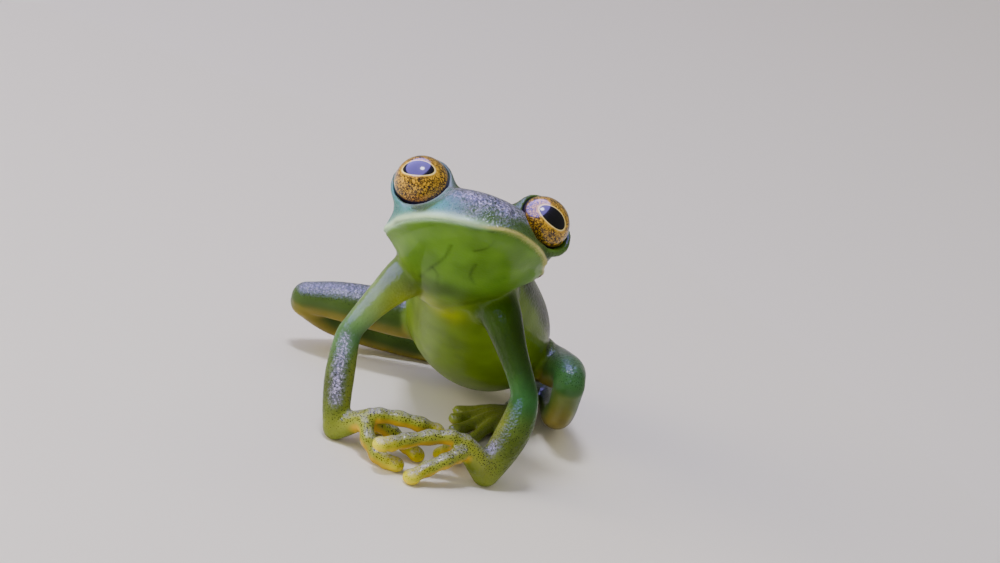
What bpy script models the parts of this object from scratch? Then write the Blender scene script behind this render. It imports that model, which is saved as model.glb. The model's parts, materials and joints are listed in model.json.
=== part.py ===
"""A life-size glass frog, sitting up on its forelegs with its hands crossed in front.

The flesh is modelled whole, from lofts, tubes and balls that a voxel remesh fuses, and is then
parted by thin cuts at the neck and at each joint of the legs. +Z is up, the frog looks along -Y,
and its own left side is +X. Sizes below are in millimetres; MM turns them to Blender's metres.
"""

import math

import bmesh
import bpy
from mathutils import Matrix, Vector

MM = 0.001

# Sizes that drive the rest, in millimetres
HEAD_WIDTH = 9.6
LIP_TO_JAW = 6.3
EYE_RADIUS = 1.6
JOINT_GAP = 0.3
EYE_GAP = 0.16
LID_THICKNESS = 0.22
MOUTH_GROOVE = 0.12
LIP_RADIUS = 0.26
JAW_TUCK = 0.13
NOSTRIL_RADIUS = 0.17
VOXEL = 0.19
LID_RADIUS = EYE_RADIUS + EYE_GAP + LID_THICKNESS
SMOOTHING_PASSES = 4
FLESH_TRIANGLES = 10500

# Where the head sits and how it is held
JAW_CENTRE = Vector((-0.36, 3.0, 12.05))
HEAD_PITCH = math.radians(34)
HEAD_YAW = math.radians(9.5)
HEAD_ROLL = math.radians(4)

# Eyes in the head's own frame: forward, to its left, up
EYE_FORWARD = 2.2
EYE_SIDE = 3.65
EYE_UP = 2.55
EYE_AZIMUTH = math.radians(42)
EYE_ELEVATION = math.radians(8)
LID_RIM = 0.12

SIDES = {"right": -1, "left": 1}

# Stations of the head: forward, half width at the lips, height of the crown, depth of the chin
HEAD_STATIONS = (
    (6.28, 0.9, 0.85, 0.35),
    (6.12, 1.6, 1.35, 0.55),
    (5.7, 2.4, 1.85, 0.85),
    (4.9, 3.25, 2.2, 1.15),
    (3.7, 4.0, 2.5, 1.5),
    (2.3, 4.5, 2.75, 1.85),
    (0.9, 4.72, 2.95, 2.15),
    (-0.6, 4.58, 3.0, 2.4),
    (-2.2, 3.85, 2.85, 2.6),
    (-3.8, 3.1, 2.5, 2.7),
)

# Stations of the trunk: centre, half width, half depth
TRUNK_STATIONS = (
    ((-0.3, 4.2, 12.0), 2.6, 2.15),
    ((-0.2, 5.2, 11.2), 2.85, 2.65),
    ((0.1, 6.8, 9.8), 3.35, 3.1),
    ((0.9, 9.1, 7.8), 4.0, 3.5),
    ((1.6, 11.5, 5.8), 4.4, 3.72),
    ((2.2, 14.0, 4.1), 4.0, 3.4),
    ((2.75, 16.4, 3.1), 3.1, 2.5),
    ((3.05, 18.2, 2.4), 2.2, 1.85),
    ((3.2, 19.2, 2.05), 1.2, 1.1),
)

# Each limb is a chain of points, with the radius of the flesh at each
ARMS = {
    "right": (
        ((-1.7, 5.8, 9.6), 1.6),
        ((-2.9, 4.2, 9.4), 1.35),
        ((-4.1, 2.8, 7.9), 0.92),
        ((-4.95, 1.75, 6.4), 0.72),
        ((-5.2, 1.4, 5.5), 0.76),
        ((-5.0, 0.6, 3.7), 0.88),
        ((-4.7, 0.05, 2.2), 0.84),
        ((-4.3, -0.3, 0.7), 0.76),
    ),
    "left": (
        ((1.9, 5.6, 9.2), 1.6),
        ((2.85, 3.9, 8.8), 1.22),
        ((4.1, 2.7, 7.3), 0.88),
        ((5.25, 1.8, 5.8), 0.78),
        ((5.6, 1.5, 4.95), 0.86),
        ((5.6, 0.9, 3.6), 1.0),
        ((5.25, 0.3, 2.2), 0.96),
        ((4.7, -0.2, 0.76), 0.84),
    ),
}

# The palm, then the fingers from the knuckle out to the disc at the tip
PALMS = {
    "right": (((-4.3, -0.3, 0.7), 0.76), ((-3.35, -0.6, 1.45), 0.66), ((-2.6, -0.95, 2.1), 0.52)),
    "left": (((4.7, -0.2, 0.76), 0.84), ((3.85, -0.6, 1.6), 0.76), ((3.0, -1.0, 2.35), 0.6)),
}
FINGERS = {
    "right": (
        ((-2.85, -0.95, 1.9), (-2.66, -1.3, 1.7), (-2.25, -1.9, 1.12), (-1.5, -2.35, 0.55),
         (-0.9, -2.5, 0.42), (-0.35, -2.45, 0.4)),
        ((-2.6, -0.95, 2.2), (-2.1, -0.95, 2.4), (-0.95, -0.75, 2.52), (0.3, -0.45, 2.45),
         (1.3, 0.1, 2.2)),
        ((-3.0, -0.6, 1.7), (-2.2, -0.1, 1.6), (-1.2, 0.25, 1.25), (-0.1, 0.3, 0.7),
         (0.6, 0.2, 0.42)),
        ((-3.6, -0.3, 1.2), (-3.2, 0.7, 1.1), (-2.7, 1.7, 0.75), (-2.3, 2.4, 0.42),
         (-1.9, 2.95, 0.38)),
    ),
    "left": (
        ((3.3, -1.1, 2.0), (2.9, -1.9, 1.85), (2.3, -2.5, 1.5), (1.5, -3.15, 1.0),
         (0.75, -3.8, 0.45)),
        ((3.0, -1.0, 2.45), (2.2, -1.35, 2.58), (1.06, -1.75, 2.33), (-0.23, -2.5, 1.95),
         (-0.9, -3.1, 1.75), (-1.45, -3.45, 1.64)),
        ((3.2, -0.5, 2.0), (2.8, 0.35, 1.65), (2.35, 1.1, 1.0), (2.0, 1.65, 0.42)),
        ((3.6, -0.15, 1.4), (3.3, 0.9, 1.15), (3.15, 2.1, 0.7), (3.15, 3.0, 0.4)),
    ),
}
FINGER_RADIUS = 0.49
KNUCKLE_RADIUS = 0.55
FINGER_DISC = (0.54, 0.62, 0.44)

LEGS = {
    "right": {
        "thigh": (
            ((1.6, 16.0, 3.4), 1.7),
            ((-0.6, 15.2, 3.7), 1.55),
            ((-3.6, 14.0, 3.75), 1.4),
            ((-6.6, 13.3, 3.65), 1.2),
            ((-8.6, 13.2, 3.3), 0.95),
        ),
        "shank": (
            ((-8.6, 13.45, 2.95), 0.95),
            ((-6.9, 15.3, 1.8), 0.95),
            ((-4.8, 16.7, 1.3), 1.0),
            ((-2.4, 17.7, 0.92), 0.85),
            ((-0.2, 18.6, 0.68), 0.72),
        ),
        "tarsus": (
            ((0.1, 19.4, 0.75), 0.66),
            ((-1.4, 19.95, 0.62), 0.56),
            ((-2.6, 20.1, 0.58), 0.54),
            ((-3.8, 20.1, 0.56), 0.6),
        ),
        "hip_cut": ((-2.1, 14.5, 3.7), (-0.9, 0.42, 0.0), 3.0),
        "toe_heading": 160,
        "toe_reach": 0.8,
    },
    "left": {
        "thigh": (
            ((4.2, 16.6, 2.9), 1.6),
            ((5.9, 14.6, 3.5), 1.38),
            ((7.0, 12.2, 4.1), 1.25),
            ((7.65, 9.9, 4.75), 1.08),
            ((7.85, 8.5, 4.85), 0.98),
        ),
        "shank": (
            ((7.95, 8.3, 4.5), 0.96),
            ((8.0, 9.9, 2.6), 0.9),
            ((7.85, 12.0, 1.35), 0.92),
            ((7.55, 14.6, 0.9), 0.82),
            ((7.2, 17.0, 0.68), 0.72),
        ),
        "tarsus": (
            ((6.45, 17.4, 0.75), 0.66),
            ((5.8, 15.8, 0.62), 0.56),
            ((5.4, 14.0, 0.58), 0.54),
            ((5.1, 12.0, 0.56), 0.6),
        ),
        "hip_cut": ((6.25, 14.2, 3.4), (1.0, -0.08, 0.1), 3.3),
        "toe_heading": 249,
        "toe_reach": 1.0,
    },
}
# Toes from the first to the fifth: angle from the foot's heading, length
TOES = ((36, 3.4), (20, 4.5), (6, 6.0), (-6, 7.6), (-19, 6.3))
TOE_RADIUS = 0.38
TOE_DISC = (0.48, 0.52, 0.36)
WEB_SHARE = 0.55
WEB_HALF_THICKNESS = 0.26

# Where the head parts from the trunk
NECK_CUT = Vector((-0.1, 4.9, 11.55))
NECK_NORMAL = Vector((0.0, -0.5, 0.87))

COLOURS = {
    "skin": ((0.20, 0.34, 0.10, 1.0), 0.35),
    "throat": ((0.36, 0.50, 0.16, 1.0), 0.35),
    "hand": ((0.55, 0.58, 0.16, 1.0), 0.35),
    "eye": ((0.55, 0.38, 0.10, 1.0), 0.08),
}


def clear_scene():
    """Removes the objects of the scene that the script starts from."""
    for obj in list(bpy.data.objects):
        bpy.data.objects.remove(obj)


def new_collection(name, shown=True):
    collection = bpy.data.collections.new(name)
    bpy.context.scene.collection.children.link(collection)
    collection.hide_render = not shown
    return collection


def principled(name):
    """A plain glossy skin or eye colour."""
    colour, roughness = COLOURS[name]
    material = bpy.data.materials.new(name)
    material.use_nodes = True
    shader = material.node_tree.nodes["Principled BSDF"]
    shader.inputs["Base Color"].default_value = colour
    shader.inputs["Roughness"].default_value = roughness
    shader.inputs["Metallic"].default_value = 0.0
    return material


def mesh_object(name, bm, collection):
    mesh = bpy.data.meshes.new(name)
    bm.to_mesh(mesh)
    bm.free()
    obj = bpy.data.objects.new(name, mesh)
    collection.objects.link(obj)
    return obj


def head_matrix():
    """Turns (forward, left, up) in the head's frame, in millimetres, to the model's."""
    forward = Vector((math.sin(HEAD_YAW) * math.cos(HEAD_PITCH),
                      -math.cos(HEAD_YAW) * math.cos(HEAD_PITCH),
                      math.sin(HEAD_PITCH)))
    left = Vector((math.cos(HEAD_YAW), math.sin(HEAD_YAW), 0.0))
    up = forward.cross(left)
    up = -up if up.z < 0 else up
    tilted_left = left * math.cos(HEAD_ROLL) - up * math.sin(HEAD_ROLL)
    tilted_up = up * math.cos(HEAD_ROLL) + left * math.sin(HEAD_ROLL)
    turn = Matrix((forward, tilted_left, tilted_up)).transposed().to_4x4()
    return Matrix.Translation(JAW_CENTRE) @ turn


HEAD = head_matrix()


def head_point(forward, left, up):
    return HEAD @ Vector((forward, left, up))


def eye_centre(side):
    return head_point(EYE_FORWARD, SIDES[side] * EYE_SIDE, EYE_UP)


def eye_axis(side):
    """The way that an eye looks, in the model's frame."""
    look = Vector((math.cos(EYE_AZIMUTH) * math.cos(EYE_ELEVATION),
                   SIDES[side] * math.sin(EYE_AZIMUTH) * math.cos(EYE_ELEVATION),
                   math.sin(EYE_ELEVATION)))
    return (HEAD.to_3x3() @ look).normalized()


def loft(name, rings, collection):
    """A closed solid through rings of equally many points, its ends closed by a middle point."""
    bm = bmesh.new()
    rows = [[bm.verts.new(Vector(p) * MM) for p in ring] for ring in rings]
    count = len(rows[0])
    for lower, upper in zip(rows, rows[1:]):
        for i in range(count):
            j = (i + 1) % count
            bm.faces.new((lower[i], lower[j], upper[j], upper[i]))
    for row in (rows[0], rows[-1]):
        middle = bm.verts.new(sum((v.co for v in row), Vector()) / count)
        for i in range(count):
            bm.faces.new((row[i], row[(i + 1) % count], middle))
    bmesh.ops.recalc_face_normals(bm, faces=bm.faces)
    return mesh_object(name, bm, collection)


def power(value, exponent):
    return math.copysign(abs(value) ** exponent, value)


def head_ring(forward, half_width, crown, chin, sides=40):
    """A section of the head: broad at the lips, full above them and sloping in below."""
    ring = []
    for i in range(sides):
        angle = 2 * math.pi * i / sides
        across, rise = math.cos(angle), math.sin(angle)
        if rise > 0:
            half, height = half_width * power(across, 0.82), crown * power(rise, 0.9)
        else:
            tuck = 1 - JAW_TUCK * min(1.0, -rise / 0.35)
            half, height = half_width * tuck * power(across, 1.1), chin * rise
        ring.append(head_point(forward, half, height))
    return ring


def trunk_ring(index, sides=36):
    """A section of the trunk, square to the line of the back at that station."""
    centre, half_width, half_depth = TRUNK_STATIONS[index]
    before = Vector(TRUNK_STATIONS[max(index - 1, 0)][0])
    after = Vector(TRUNK_STATIONS[min(index + 1, len(TRUNK_STATIONS) - 1)][0])
    along = (after - before).normalized()
    across = Vector((0, 0, 1)).cross(along).normalized()
    out = along.cross(across)
    ring = []
    for i in range(sides):
        angle = 2 * math.pi * i / sides
        ring.append(Vector(centre) + across * half_width * math.cos(angle)
                    + out * half_depth * math.sin(angle))
    return ring


def smooth_chain(points, steps=4):
    """Points on a Catmull-Rom curve through a chain of (place, radius) pairs."""
    padded = [points[0], *points, points[-1]]
    line = []
    for k in range(1, len(padded) - 2):
        four = [(Vector(p), r) for p, r in padded[k - 1:k + 3]]
        for step in range(steps):
            t = step / steps
            weights = (-0.5 * t + t * t - 0.5 * t ** 3, 1 - 2.5 * t * t + 1.5 * t ** 3,
                       0.5 * t + 2 * t * t - 1.5 * t ** 3, -0.5 * t * t + 0.5 * t ** 3)
            place = sum((p * w for (p, _), w in zip(four, weights)), Vector())
            line.append((place, sum(r * w for (_, r), w in zip(four, weights))))
    line.append((Vector(points[-1][0]), points[-1][1]))
    return line


def tube(name, points, collection, steps=4):
    """A round tube of changing radius, as a bevelled curve turned to a mesh with welded caps."""
    line = smooth_chain(points, steps)
    curve = bpy.data.curves.new(name, "CURVE")
    curve.dimensions = "3D"
    curve.bevel_depth = MM
    curve.bevel_resolution = 4
    curve.use_fill_caps = True
    spline = curve.splines.new("POLY")
    spline.points.add(len(line) - 1)
    for point, (place, radius) in zip(spline.points, line):
        point.co = (*(place * MM), 1.0)
        point.radius = radius
    drawn = bpy.data.objects.new(name, curve)
    bpy.context.scene.collection.objects.link(drawn)
    bpy.context.view_layer.update()
    graph = bpy.context.evaluated_depsgraph_get()
    mesh = bpy.data.meshes.new_from_object(drawn.evaluated_get(graph))
    bpy.data.objects.remove(drawn)
    bm = bmesh.new()
    bm.from_mesh(mesh)
    bpy.data.meshes.remove(mesh)
    bmesh.ops.remove_doubles(bm, verts=bm.verts, dist=MM * 0.002)
    bmesh.ops.recalc_face_normals(bm, faces=bm.faces)
    return mesh_object(name, bm, collection)


def ball(name, centre, radii, collection, heading=None):
    """An ellipsoid; its first radius lies along the heading, in the plane of the floor."""
    bm = bmesh.new()
    turn = Matrix.Identity(4)
    if heading is not None:
        turn = Vector(heading).to_track_quat("X", "Z").to_matrix().to_4x4()
    size = Matrix.Diagonal((*[r * MM for r in radii], 1.0))
    place = Matrix.Translation(Vector(centre) * MM) @ turn @ size
    bmesh.ops.create_uvsphere(bm, u_segments=24, v_segments=16, radius=1.0, matrix=place)
    return mesh_object(name, bm, collection)


def limb(name, chain, collection):
    """A length of limb: a tube with its ends rounded off."""
    tube(name, chain, collection)
    for place, radius in (chain[0], chain[-1]):
        ball(f"{name}_end", place, (radius,) * 3, collection)


def slab(name, centre, normal, half_size, cutters, reach=None):
    """A thin square cutter, one joint gap thick; reach stretches it that far one way."""
    bm = bmesh.new()
    normal = Vector(normal).normalized()
    middle = Vector(centre)
    if reach is None:
        turn = normal.to_track_quat("Z", "Y").to_matrix()
        length = 2 * half_size
    else:
        along = reach.normalized()
        normal = (normal - normal.project(along)).normalized()
        turn = Matrix((along, normal.cross(along), normal)).transposed()
        length = reach.length + half_size
        middle = middle + along * (reach.length - half_size) / 2
    size = Matrix.Diagonal((length * MM, 2 * half_size * MM, JOINT_GAP * MM, 1.0))
    place = Matrix.Translation(middle * MM) @ turn.to_4x4() @ size
    bmesh.ops.create_cube(bm, size=1.0, matrix=place)
    return mesh_object(name, bm, cutters)


def trim(obj, place, normal):
    """Cuts away what lies beyond a plane and closes the cut."""
    bm = bmesh.new()
    bm.from_mesh(obj.data)
    geometry = [*bm.verts, *bm.edges, *bm.faces]
    found = bmesh.ops.bisect_plane(bm, geom=geometry, dist=MM * 1e-4, plane_co=Vector(place) * MM,
                                   plane_no=normal, clear_outer=True)
    rim = [g for g in found["geom_cut"] if isinstance(g, bmesh.types.BMEdge)]
    bmesh.ops.holes_fill(bm, edges=rim)
    bmesh.ops.triangulate(bm, faces=bm.faces)
    bmesh.ops.recalc_face_normals(bm, faces=bm.faces)
    bm.to_mesh(obj.data)
    bm.free()


def build_head(flesh):
    """The head with its eye bulges, lips and the swell of the jaw muscles."""
    loft("head_form", [head_ring(*station) for station in HEAD_STATIONS], flesh)
    for side in SIDES:
        lids = ball("eye_bulge", eye_centre(side), (LID_RADIUS,) * 3, flesh)
        trim(lids, eye_centre(side) + eye_axis(side) * LID_RIM, eye_axis(side))
    tube("upper_lip", [(p, LIP_RADIUS) for p in lip_line(0.12, 0.12)], flesh, steps=2)


def lip_line(up, inset):
    """Points round the rim of the mouth, from the right corner past the snout to the left."""
    half = [(s[0], s[1] - inset) for s in HEAD_STATIONS[:8]]
    right = [head_point(f, -w, up) for f, w in reversed(half)]
    left = [head_point(f, w, up) for f, w in half]
    snout = head_point(LIP_TO_JAW - inset, 0, up)
    return [*right, snout, *left]


def build_trunk(flesh):
    loft("trunk_form", [trunk_ring(i) for i in range(len(TRUNK_STATIONS))], flesh)


def build_arm(side, flesh):
    """Arm, palm and four fingers, each finger ending in a blunt disc."""
    limb(f"{side}_arm_form", ARMS[side], flesh)
    limb(f"{side}_palm_form", PALMS[side], flesh)
    for number, chain in enumerate(FINGERS[side], 1):
        radii = [KNUCKLE_RADIUS] + [FINGER_RADIUS] * (len(chain) - 1)
        tube(f"{side}_finger_{number}", list(zip(chain, radii)), flesh, steps=3)
        heading = Vector(chain[-1]) - Vector(chain[-2])
        ball(f"{side}_finger_disc_{number}", chain[-1], FINGER_DISC, flesh, heading)


def toe_chain(side, angle, length):
    """A toe from the end of the tarsus, arched a little, its tip on the floor."""
    leg = LEGS[side]
    turn = math.radians(leg["toe_heading"] + SIDES[side] * -angle)
    way = Vector((math.cos(turn), math.sin(turn), 0.0))
    length *= leg["toe_reach"]
    base = Vector(leg["tarsus"][-1][0])
    return [base, base + way * length * 0.4 + Vector((0, 0, 0.06)),
            base + way * length * 0.75 - Vector((0, 0, 0.16)),
            base + way * length - Vector((0, 0, 0.24))]


def build_web(name, first, second, flesh):
    """A thin skin between the lower lengths of two toes."""
    bm = bmesh.new()
    corners = []
    for chain in (first, second):
        tip = chain[1].lerp(chain[3], WEB_SHARE / 2)
        corners += [chain[0], chain[1], tip]
    rise = Vector((0, 0, WEB_HALF_THICKNESS))
    for corner in corners:
        for offset in (rise, -rise):
            bm.verts.new((corner + offset - Vector((0, 0, 0.1))) * MM)
    hull = bmesh.ops.convex_hull(bm, input=bm.verts)
    loose = [g for g in hull["geom_interior"] if isinstance(g, bmesh.types.BMVert)]
    bmesh.ops.delete(bm, geom=loose, context="VERTS")
    bmesh.ops.recalc_face_normals(bm, faces=bm.faces)
    mesh_object(name, bm, flesh)


def build_leg(side, flesh):
    """Thigh, shank, tarsus and a webbed foot of five toes."""
    for length in ("thigh", "shank", "tarsus"):
        limb(f"{side}_{length}_form", LEGS[side][length], flesh)
    chains = [toe_chain(side, angle, length) for angle, length in TOES]
    for number, chain in enumerate(chains, 1):
        radii = [0.52, TOE_RADIUS, TOE_RADIUS, TOE_RADIUS]
        tube(f"{side}_toe_{number}", list(zip(chain, radii)), flesh, steps=3)
        heading = chain[-1] - chain[-2]
        heading.z = 0
        ball(f"{side}_toe_disc_{number}", chain[-1], TOE_DISC, flesh, heading)
    for number, (first, second) in enumerate(zip(chains, chains[1:]), 1):
        build_web(f"{side}_web_{number}", first, second, flesh)


def apply_modifiers(obj):
    graph = bpy.context.evaluated_depsgraph_get()
    mesh = bpy.data.meshes.new_from_object(obj.evaluated_get(graph))
    obj.modifiers.clear()
    old = obj.data
    obj.data = mesh
    bpy.data.meshes.remove(old)


def fuse(forms, name, collection):
    """Joins the forms, remeshes them as one skin, smooths it and thins its triangles."""
    bm = bmesh.new()
    for obj in list(forms.objects):
        bm.from_mesh(obj.data)
        bpy.data.objects.remove(obj)
    body = mesh_object(name, bm, collection)
    remesh = body.modifiers.new("Fuse", "REMESH")
    remesh.mode = "VOXEL"
    remesh.voxel_size = VOXEL * MM
    smooth = body.modifiers.new("Smooth", "SMOOTH")
    smooth.factor = 0.5
    smooth.iterations = SMOOTHING_PASSES
    apply_modifiers(body)
    keep_largest(body)
    body.data.calc_loop_triangles()
    thin = body.modifiers.new("Thin", "DECIMATE")
    thin.ratio = FLESH_TRIANGLES / len(body.data.loop_triangles)
    apply_modifiers(body)
    return body


def loose_parts(bm):
    """The vertices of each connected surface."""
    left = set(bm.verts)
    parts = []
    while left:
        stack = [left.pop()]
        part = set(stack)
        while stack:
            for edge in stack.pop().link_edges:
                for vert in edge.verts:
                    if vert in left:
                        left.remove(vert)
                        part.add(vert)
                        stack.append(vert)
        parts.append(part)
    return parts


def keep_largest(obj):
    """Drops all but the largest closed surface of an object."""
    bm = bmesh.new()
    bm.from_mesh(obj.data)
    parts = sorted(loose_parts(bm), key=len)
    for part in parts[:-1]:
        bmesh.ops.delete(bm, geom=list(part), context="VERTS")
    bm.to_mesh(obj.data)
    bm.free()


def fold_slab(name, joint, root, tip, half_size, depth, cutters):
    """A cut through a folded joint, that runs on midway between the skins of its lengths."""
    (root_place, root_radius), (tip_place, tip_radius) = root, tip
    root_place, tip_place = Vector(root_place), Vector(tip_place)
    middle = root_place.lerp(tip_place, root_radius / (root_radius + tip_radius))
    reach = (middle - Vector(joint)).normalized() * depth
    slab(name, joint, root_place - tip_place, half_size, cutters, reach)


def build_cutters(cutters):
    """The thin cuts that part the body, and the hollows for eyes, mouth and nostrils."""
    slab("neck_cut", NECK_CUT, NECK_NORMAL, 5.0, cutters)
    floor_block(cutters)
    for side, sign in SIDES.items():
        arm = [p for p, _ in ARMS[side]]
        slab(f"{side}_shoulder_cut", Vector(arm[1]).lerp(Vector(arm[2]), 0.3),
             Vector(arm[2]) - Vector(arm[1]), 1.75, cutters)
        slab(f"{side}_elbow_cut", arm[4], Vector(arm[5]) - Vector(arm[3]), 1.3, cutters)
        fold_slab(f"{side}_wrist_cut", arm[7], ARMS[side][6], PALMS[side][1], 1.6, 2.8, cutters)
        leg = LEGS[side]
        thigh, shank, tarsus = leg["thigh"], leg["shank"], leg["tarsus"]
        slab(f"{side}_hip_cut", *leg["hip_cut"], cutters)
        knee = Vector(thigh[-1][0]).lerp(Vector(shank[0][0]), 0.5)
        fold_slab(f"{side}_knee_cut", knee, thigh[-2], shank[1], 1.7, 3.8, cutters)
        heel = Vector(shank[-1][0]).lerp(Vector(tarsus[0][0]), 0.5)
        fold_slab(f"{side}_heel_cut", heel, shank[-2], tarsus[1], 1.3, 2.6, cutters)
        tarsus = [Vector(p) for p, _ in tarsus]
        slab(f"{side}_foot_cut", tarsus[-1].lerp(tarsus[-2], 0.25),
             tarsus[-1] - tarsus[-2], 1.0, cutters)
        radius = EYE_RADIUS + EYE_GAP
        ball(f"{side}_socket", eye_centre(side), (radius, radius, radius), cutters)
        tube(f"{side}_nostril", [(head_point(5.2, sign * 0.8, 1.45), NOSTRIL_RADIUS),
                                 (head_point(5.9, sign * 1.15, 2.1), NOSTRIL_RADIUS)],
             cutters, steps=2)
    tube("mouth_cut", [(p, MOUTH_GROOVE) for p in lip_line(-0.1, 0.02)], cutters, steps=2)


def floor_block(cutters):
    """Trims whatever reaches below the floor, so that palms and soles end in flats."""
    bm = bmesh.new()
    size = Matrix.Diagonal((60 * MM, 80 * MM, 6 * MM, 1.0))
    place = Matrix.Translation(Vector((0, 8, -3)) * MM)
    bmesh.ops.create_cube(bm, size=1.0, matrix=place @ size)
    return mesh_object("floor_block", bm, cutters)


def cut(body, cutters):
    modifier = body.modifiers.new("Cuts", "BOOLEAN")
    modifier.operation = "DIFFERENCE"
    modifier.solver = "EXACT"
    modifier.operand_type = "COLLECTION"
    modifier.collection = cutters
    apply_modifiers(body)


def marks():
    """A point inside each piece of flesh, and the material of the piece."""
    found = {
        "head": (head_point(1.0, 0, 0.8), "skin"),
        "torso": (Vector(TRUNK_STATIONS[3][0]), "throat"),
    }
    for side in SIDES:
        arm = [Vector(p) for p, _ in ARMS[side]]
        leg = LEGS[side]
        found[f"{side}_upper_arm"] = (arm[2].lerp(arm[3], 0.5), "skin")
        found[f"{side}_forearm"] = (arm[5], "skin")
        found[f"{side}_hand"] = (Vector(PALMS[side][1][0]), "hand")
        found[f"{side}_thigh"] = (Vector(leg["thigh"][2][0]), "skin")
        found[f"{side}_shank"] = (Vector(leg["shank"][2][0]), "skin")
        found[f"{side}_tarsus"] = (Vector(leg["tarsus"][1][0]), "skin")
        found[f"{side}_foot"] = (toe_chain(side, 0, 5)[1], "hand")
    return found


def part_flesh(body, parts):
    """Makes an object of each piece that the cuts leave, named by the mark nearest to it."""
    bm = bmesh.new()
    bm.from_mesh(body.data)
    bm.verts.index_update()
    pieces = []
    for part in [{v.index for v in verts} for verts in loose_parts(bm)]:
        piece = bm.copy()
        others = [v for v in piece.verts if v.index not in part]
        bmesh.ops.delete(piece, geom=others, context="VERTS")
        pieces.append(piece)
    bm.free()
    bpy.data.objects.remove(body)
    materials = {name: principled(name) for name in COLOURS}
    for name, (mark, colour) in marks().items():
        nearest = min(pieces, key=lambda piece: min(
            (v.co - mark * MM).length for v in piece.verts))
        pieces.remove(nearest)
        obj = mesh_object(name, nearest, parts)
        obj.data.materials.append(materials[colour])
    return materials


def build_eyes(parts, material):
    for side in SIDES:
        eye = ball(f"{side}_eye", eye_centre(side), (EYE_RADIUS,) * 3, parts, eye_axis(side))
        eye.data.materials.append(material)


def finish_parts(parts):
    """Sets the origin under the middle of the frog and shades the skin smooth."""
    corners = [v.co for obj in parts.objects for v in obj.data.vertices]
    lows, highs = ([pick(c[k] for c in corners) for k in range(3)] for pick in (min, max))
    shift = Matrix.Translation((-(lows[0] + highs[0]) / 2, -(lows[1] + highs[1]) / 2, 0))
    for obj in parts.objects:
        obj.data.transform(shift)
        obj.data.shade_smooth()
        obj.data.set_sharp_from_angle(angle=math.radians(50))


def main():
    clear_scene()
    parts = new_collection("glass_frog")
    forms = new_collection("forms", shown=False)
    cutters = new_collection("cutters", shown=False)
    build_head(forms)
    build_trunk(forms)
    for side in SIDES:
        build_arm(side, forms)
        build_leg(side, forms)
    body = fuse(forms, "flesh", parts)
    build_cutters(cutters)
    cut(body, cutters)
    for cutter in cutters.objects:
        cutter.hide_render = True
        cutter.display_type = "WIRE"
    materials = part_flesh(body, parts)
    build_eyes(parts, materials["eye"])
    finish_parts(parts)


if __name__ == "__main__":
    main()
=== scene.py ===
"""A life-size glass frog sitting up on its forelegs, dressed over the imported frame.

The flesh is one skin, fused from lofts, tubes and balls as the solids are, but finer and with no
joint gaps. Its markings are vertex attributes, worked out from the same named points, and its
materials are procedural. Lengths named here are in millimetres; MM turns them to metres.
"""

import json
import math
from functools import partial

import bpy
import numpy as np
from bpy.props import FloatProperty, FloatVectorProperty, IntProperty, PointerProperty
from mathutils import Matrix, Vector
from mathutils.kdtree import KDTree

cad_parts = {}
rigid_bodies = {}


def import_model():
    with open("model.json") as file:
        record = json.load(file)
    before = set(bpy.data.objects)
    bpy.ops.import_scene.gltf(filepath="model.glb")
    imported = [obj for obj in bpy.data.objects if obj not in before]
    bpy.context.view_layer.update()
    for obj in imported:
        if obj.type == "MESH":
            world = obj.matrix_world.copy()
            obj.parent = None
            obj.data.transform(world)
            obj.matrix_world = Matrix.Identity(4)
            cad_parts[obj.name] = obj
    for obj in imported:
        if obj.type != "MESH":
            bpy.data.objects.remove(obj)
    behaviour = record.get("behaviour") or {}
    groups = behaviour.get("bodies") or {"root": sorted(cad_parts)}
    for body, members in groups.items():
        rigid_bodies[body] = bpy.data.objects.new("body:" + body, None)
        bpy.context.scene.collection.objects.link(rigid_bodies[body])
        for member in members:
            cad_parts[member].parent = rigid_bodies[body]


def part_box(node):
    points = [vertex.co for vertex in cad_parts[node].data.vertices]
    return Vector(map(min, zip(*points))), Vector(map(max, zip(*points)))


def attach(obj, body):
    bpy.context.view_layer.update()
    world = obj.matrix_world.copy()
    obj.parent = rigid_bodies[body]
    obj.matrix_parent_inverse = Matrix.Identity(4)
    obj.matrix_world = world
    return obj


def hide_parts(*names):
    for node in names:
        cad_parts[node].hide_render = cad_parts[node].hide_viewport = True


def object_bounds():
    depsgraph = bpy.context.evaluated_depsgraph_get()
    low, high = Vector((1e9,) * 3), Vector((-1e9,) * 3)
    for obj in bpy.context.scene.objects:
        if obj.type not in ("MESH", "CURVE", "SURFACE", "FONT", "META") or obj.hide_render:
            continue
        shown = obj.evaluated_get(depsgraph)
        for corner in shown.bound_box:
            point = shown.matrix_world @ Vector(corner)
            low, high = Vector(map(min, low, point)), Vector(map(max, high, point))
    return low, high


bl_info = {
    "name": "Glass frog",
    "version": (1, 0, 0),
    "blender": (4, 5, 0),
    "location": "3D View > Sidebar > Glass frog",
    "description": "Skins, colours and lights a life-size glass frog",
    "category": "Add Mesh",
}

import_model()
CAD_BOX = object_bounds()
MM = 0.001

# How the head is held, as in the solids
JAW_CENTRE = Vector((-0.36, 3.0, 12.05))
HEAD_PITCH = math.radians(34)
HEAD_YAW = math.radians(9.5)
HEAD_ROLL = math.radians(4)
LIP_TO_JAW = 6.3
# The jaw is narrower than the lips by this share, from this share of its depth down
JAW_TUCK, TUCK_DEPTH = 0.13, 0.35
# How square the head's sections are: across and up above the lips, across below them
CROWN_POWERS, CHIN_POWER = (0.82, 0.9), 1.1
LIP_RADIUS = 0.26

# Eyes in the head's own frame: forward, to its left, up
EYE_FORWARD = 2.2
EYE_SIDE = 3.65
EYE_UP = 2.55

SIDES = {"right": -1, "left": 1}

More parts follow.
